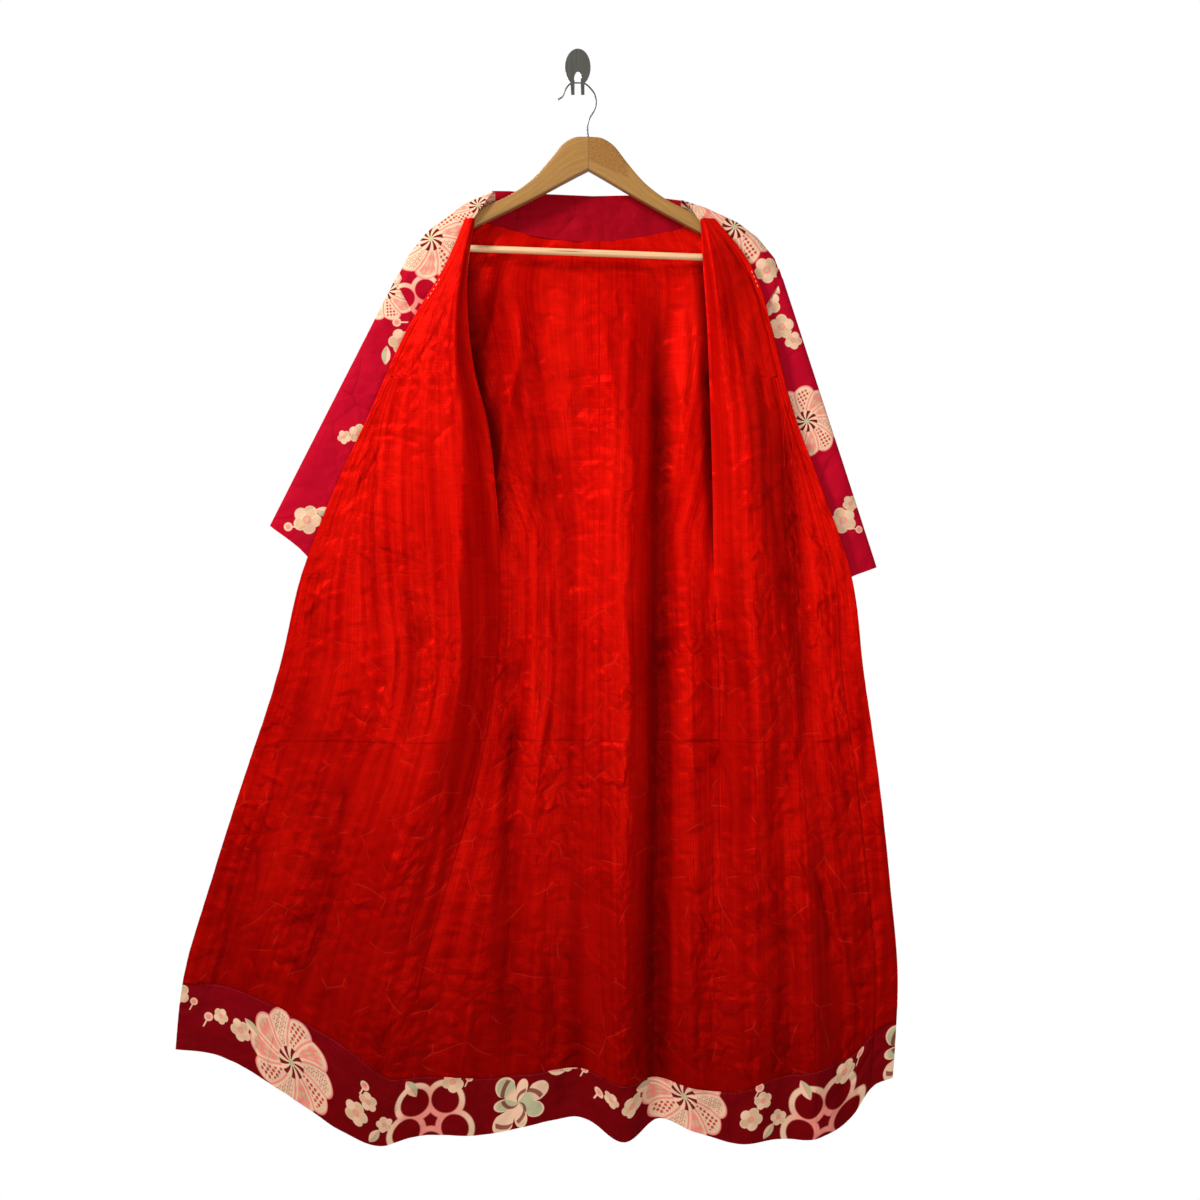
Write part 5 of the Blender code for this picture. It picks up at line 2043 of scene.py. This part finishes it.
@dataclass
class Stitching:
    """The sewing that shows: runs of small stitches along the seams."""

    pitch: float = 0.0036
    stitch: float = 0.0019
    basting_pitch: float = 0.0065
    basting_stitch: float = 0.0036

    def tree(
        self, name: str, spacing: float, length: float, radius: float, finish: Finish
    ) -> bpy.types.NodeTree:
        """A tree that turns a line into a run of stitches.

        Args:
            name: The tree's name.
            spacing: From stitch to stitch.
            length: One stitch.
            radius: The thread's radius.
            finish: The thread.

        Returns:
            The tree.
        """
        tree = bpy.data.node_groups.new(name, "GeometryNodeTree")
        for label, kind, value in (
            ("Line", "NodeSocketGeometry", None),
            ("Spacing", "NodeSocketFloat", spacing),
            ("Stitch", "NodeSocketFloat", length),
            ("Radius", "NodeSocketFloat", radius),
        ):
            socket = tree.interface.new_socket(label, in_out="INPUT", socket_type=kind)
            if value is not None:
                socket.default_value = value
        tree.interface.new_socket("Stitches", in_out="OUTPUT", socket_type="NodeSocketGeometry")
        loom = Loom(tree)
        given = loom.node("NodeGroupInput").outputs
        labels = ("Line", "Spacing", "Stitch", "Radius")
        line, gap, stitch, thick = (Signal(loom, given[label]) for label in labels)
        curve = loom.signal("GeometryNodeMeshToCurve", None, {"Mesh": line})
        spots = loom.node("GeometryNodeCurveToPoints", {"mode": "LENGTH"}, {"Curve": curve, "Length": gap})
        rod = {"Vertices": 6, "Side Segments": 3, "Radius": thick, "Depth": stitch}
        thread = loom.signal("GeometryNodeMeshCylinder", None, rod)
        sizes = {"Min": 0.75, "Max": 1.1, "Seed": 5}
        jitter = loom.node("FunctionNodeRandomValue", {"data_type": "FLOAT"}, sizes)
        size = next(out for out in jitter.outputs if out.enabled)
        spot, turn = (Signal(loom, spots.outputs[label]) for label in ("Points", "Rotation"))
        laid = {"Points": spot, "Instance": thread, "Rotation": turn, "Scale": Signal(loom, size)}
        placed = loom.signal("GeometryNodeInstanceOnPoints", None, laid)
        real = loom.signal("GeometryNodeRealizeInstances", None, {0: placed})
        dressed = loom.signal("GeometryNodeSetMaterial", None, {"Geometry": real, "Material": finish.made()})
        out = loom.node("NodeGroupOutput")
        tree.links.new(dressed.socket, out.inputs[0])
        return tree

    def run(self, name: str, lines: list[Grid], tree: bpy.types.NodeTree, slot: Slot) -> None:
        """Sews along lines and keeps the result as a plain mesh.

        Args:
            name: The piece's name.
            lines: Each a row of points in metres.
            tree: The stitches' tree.
            slot: The record's material slot.
        """
        points, edges = [], []
        for line in lines:
            start = len(points)
            points += [tuple(p) for p in line]
            edges += [(start + i, start + i + 1) for i in range(len(line) - 1)]
        mesh = bpy.data.meshes.new(name + " line")
        mesh.from_pydata(points, edges, [])
        guide = stand(name + " line", mesh)
        sewing = guide.modifiers.new("sewing", "NODES")
        sewing.node_group = tree
        bpy.context.view_layer.update()
        graph = bpy.context.evaluated_depsgraph_get()
        made = bpy.data.meshes.new_from_object(guide.evaluated_get(graph))
        made.name = name
        bpy.data.objects.remove(guide, do_unlink=True)
        declare(stand(name, made), slot)

    def on_cloth(self, panel: Panel, x: Grid, z: Grid, proud: float = 0.12) -> Grid:
        """Points that lie on a panel's inner face."""
        depth = HANG.depth(panel.kind, x, z) + HANG.detail(x, z)
        return lift(x, z, depth + proud)

    def build(self) -> None:
        """Sews the facing's top seam, the lining's joins and the basting down the fronts."""
        facing, joins, seams = [], [], []
        for panel in PANELS:
            share = np.linspace(0.02, 0.98, 40)
            z = HANG.facing_top(panel, share) - 2.0
            facing.append(self.on_cloth(panel, HANG.across(panel, share, z), z))
            z = np.full_like(share, LINING_JOIN_Z - 1.4)
            joins.append(self.on_cloth(panel, HANG.across(panel, share, z), z))
        for panel, name, offset, top in (
            (PANELS[2], "centre", -1.0, -268),
            (PANELS[1], "side_left", -1.2, -720),
            (PANELS[4], "side_right", 1.2, -720),
            (PANELS[0], "overlap_left", -1.2, -640),
            (PANELS[5], "overlap_right", 1.2, -640),
        ):
            z = np.linspace(top, -1470, 300)
            x = HANG.line(name, z) + offset
            seams.append(self.on_cloth(panel, x, z, 0.05))
        small = self.tree("seam stitches", self.pitch, self.stitch, 0.00022, CRIMSON_THREAD)
        self.run("facing_seam_stitches", facing, small, Slot.OUTER)
        fine = self.tree("lining stitches", self.pitch, self.stitch, 0.00018, RED_THREAD)
        self.run("lining_join_stitches", joins, fine, Slot.LINING)
        self.run("lining_seam_stitches", seams, fine, Slot.LINING)
        basting = []
        for band, high, low in ((COLLARS[0], -330, -356), (COLLARS[1], -318, -338)):
            z = np.linspace(high, low, 30)
            x = HANG.across(band, 0.5, z)
            basting.append(lift(x, z, HANG.depth(band.kind, x, z) + 1.4))
        pitch, stitch = self.basting_pitch, self.basting_stitch
        white = self.tree("basting stitches", pitch, stitch, 0.00032, WHITE_THREAD)
        self.run("front_basting_stitches", basting, white, Slot.OUTER)


class WallHook:
    """The oval plate and its two prongs, kept from the model with a better finish."""

    def build(self) -> None:
        """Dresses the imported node."""
        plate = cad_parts["wall_hook"]
        plate.data.materials.clear()
        plate.data.materials.append(GREY_PLATE.made())
        LOG.info("wall_hook: dressed")


@dataclass
class Studio:
    """White air, a pale round floor below the hem, soft lights and the camera."""

    eye: tuple = (0.033, -2.31, -0.793)
    angle: float = math.radians(42.3)
    far_end: float = 50
    floor_level: float = -1.95
    floor_radius: float = 0.64

    def build(self) -> None:
        """Sets up the studio."""
        self.area("key", (-2.0, -1.5, 1.3), (0.0, 0.0, -0.75), 0.6, 94)
        self.area("fill", (0.2, -2.3, -1.1), (0.0, 0.0, -1.0), 0.9, 20)
        self.area("back", (-1.2, 2.6, 0.9), (0.0, 0.0, -0.8), 1.2, 80)
        self.air()
        self.floor()
        bpy.context.scene.view_settings.view_transform = "Standard"
        camera = bpy.data.cameras.new("camera")
        camera.sensor_fit = "HORIZONTAL"
        camera.angle = self.angle
        camera.clip_end = self.far_end
        seat = stand("camera", camera)
        seat.location = self.eye
        seat.rotation_euler = (math.radians(90), 0, 0)
        bpy.context.scene.camera = seat

    def floor(self) -> None:
        """Lays the floor, which isn't part of the object."""
        reach = self.floor_radius
        turns = np.linspace(0, math.tau, 96, endpoint=False)
        rim = [(reach * math.cos(t), reach * math.sin(t), self.floor_level) for t in turns]
        mesh = bpy.data.meshes.new("floor")
        mesh.from_pydata(rim, [], [tuple(range(len(rim)))])
        mesh.materials.append(Pale().made())
        floor = stand("floor", mesh)

    def air(self) -> None:
        """Fills the world with soft white light, behind which the background is plain white."""
        world = bpy.data.worlds.new("studio air")
        bpy.context.scene.world = world
        world.use_nodes = True
        loom = Loom(world.node_tree)
        seen = loom.signal("ShaderNodeLightPath", None, None, "Is Camera Ray")
        soft = world.node_tree.nodes["Background"]
        world.node_tree.links.new(seen.between(0.0, 1.0, 0.50, 1.0).socket, soft.inputs["Strength"])
        soft.inputs["Color"].default_value = (1, 1, 1, 1)

    def area(self, name: str, place: tuple, target: tuple, size: float, energy: float) -> None:
        """A soft square light.

        Args:
            name: The light's name.
            place: Where it stands.
            target: What it points at.
            size: Its side.
            energy: Its power.
        """
        light = bpy.data.lights.new(name, "AREA")
        light.size = size
        light.energy = energy
        lamp = stand(name, light)
        lamp.location = place
        lamp.rotation_euler = (Vector(target) - Vector(place)).to_track_quat("-Z", "Y").to_euler()


def main() -> None:
    """Builds the studio, the hook, the hanger and the garment."""
    logging.basicConfig(level=logging.INFO, format="%(message)s")
    for maker in (Studio(), WallHook(), Hanger(), Body(), Neckband(), Shoulders(), Sleeves(), Stitching()):
        LOG.info("building %s", type(maker).__name__)
        maker.build()


if __name__ == "__main__":
    main()
    bpy.context.view_layer.update()
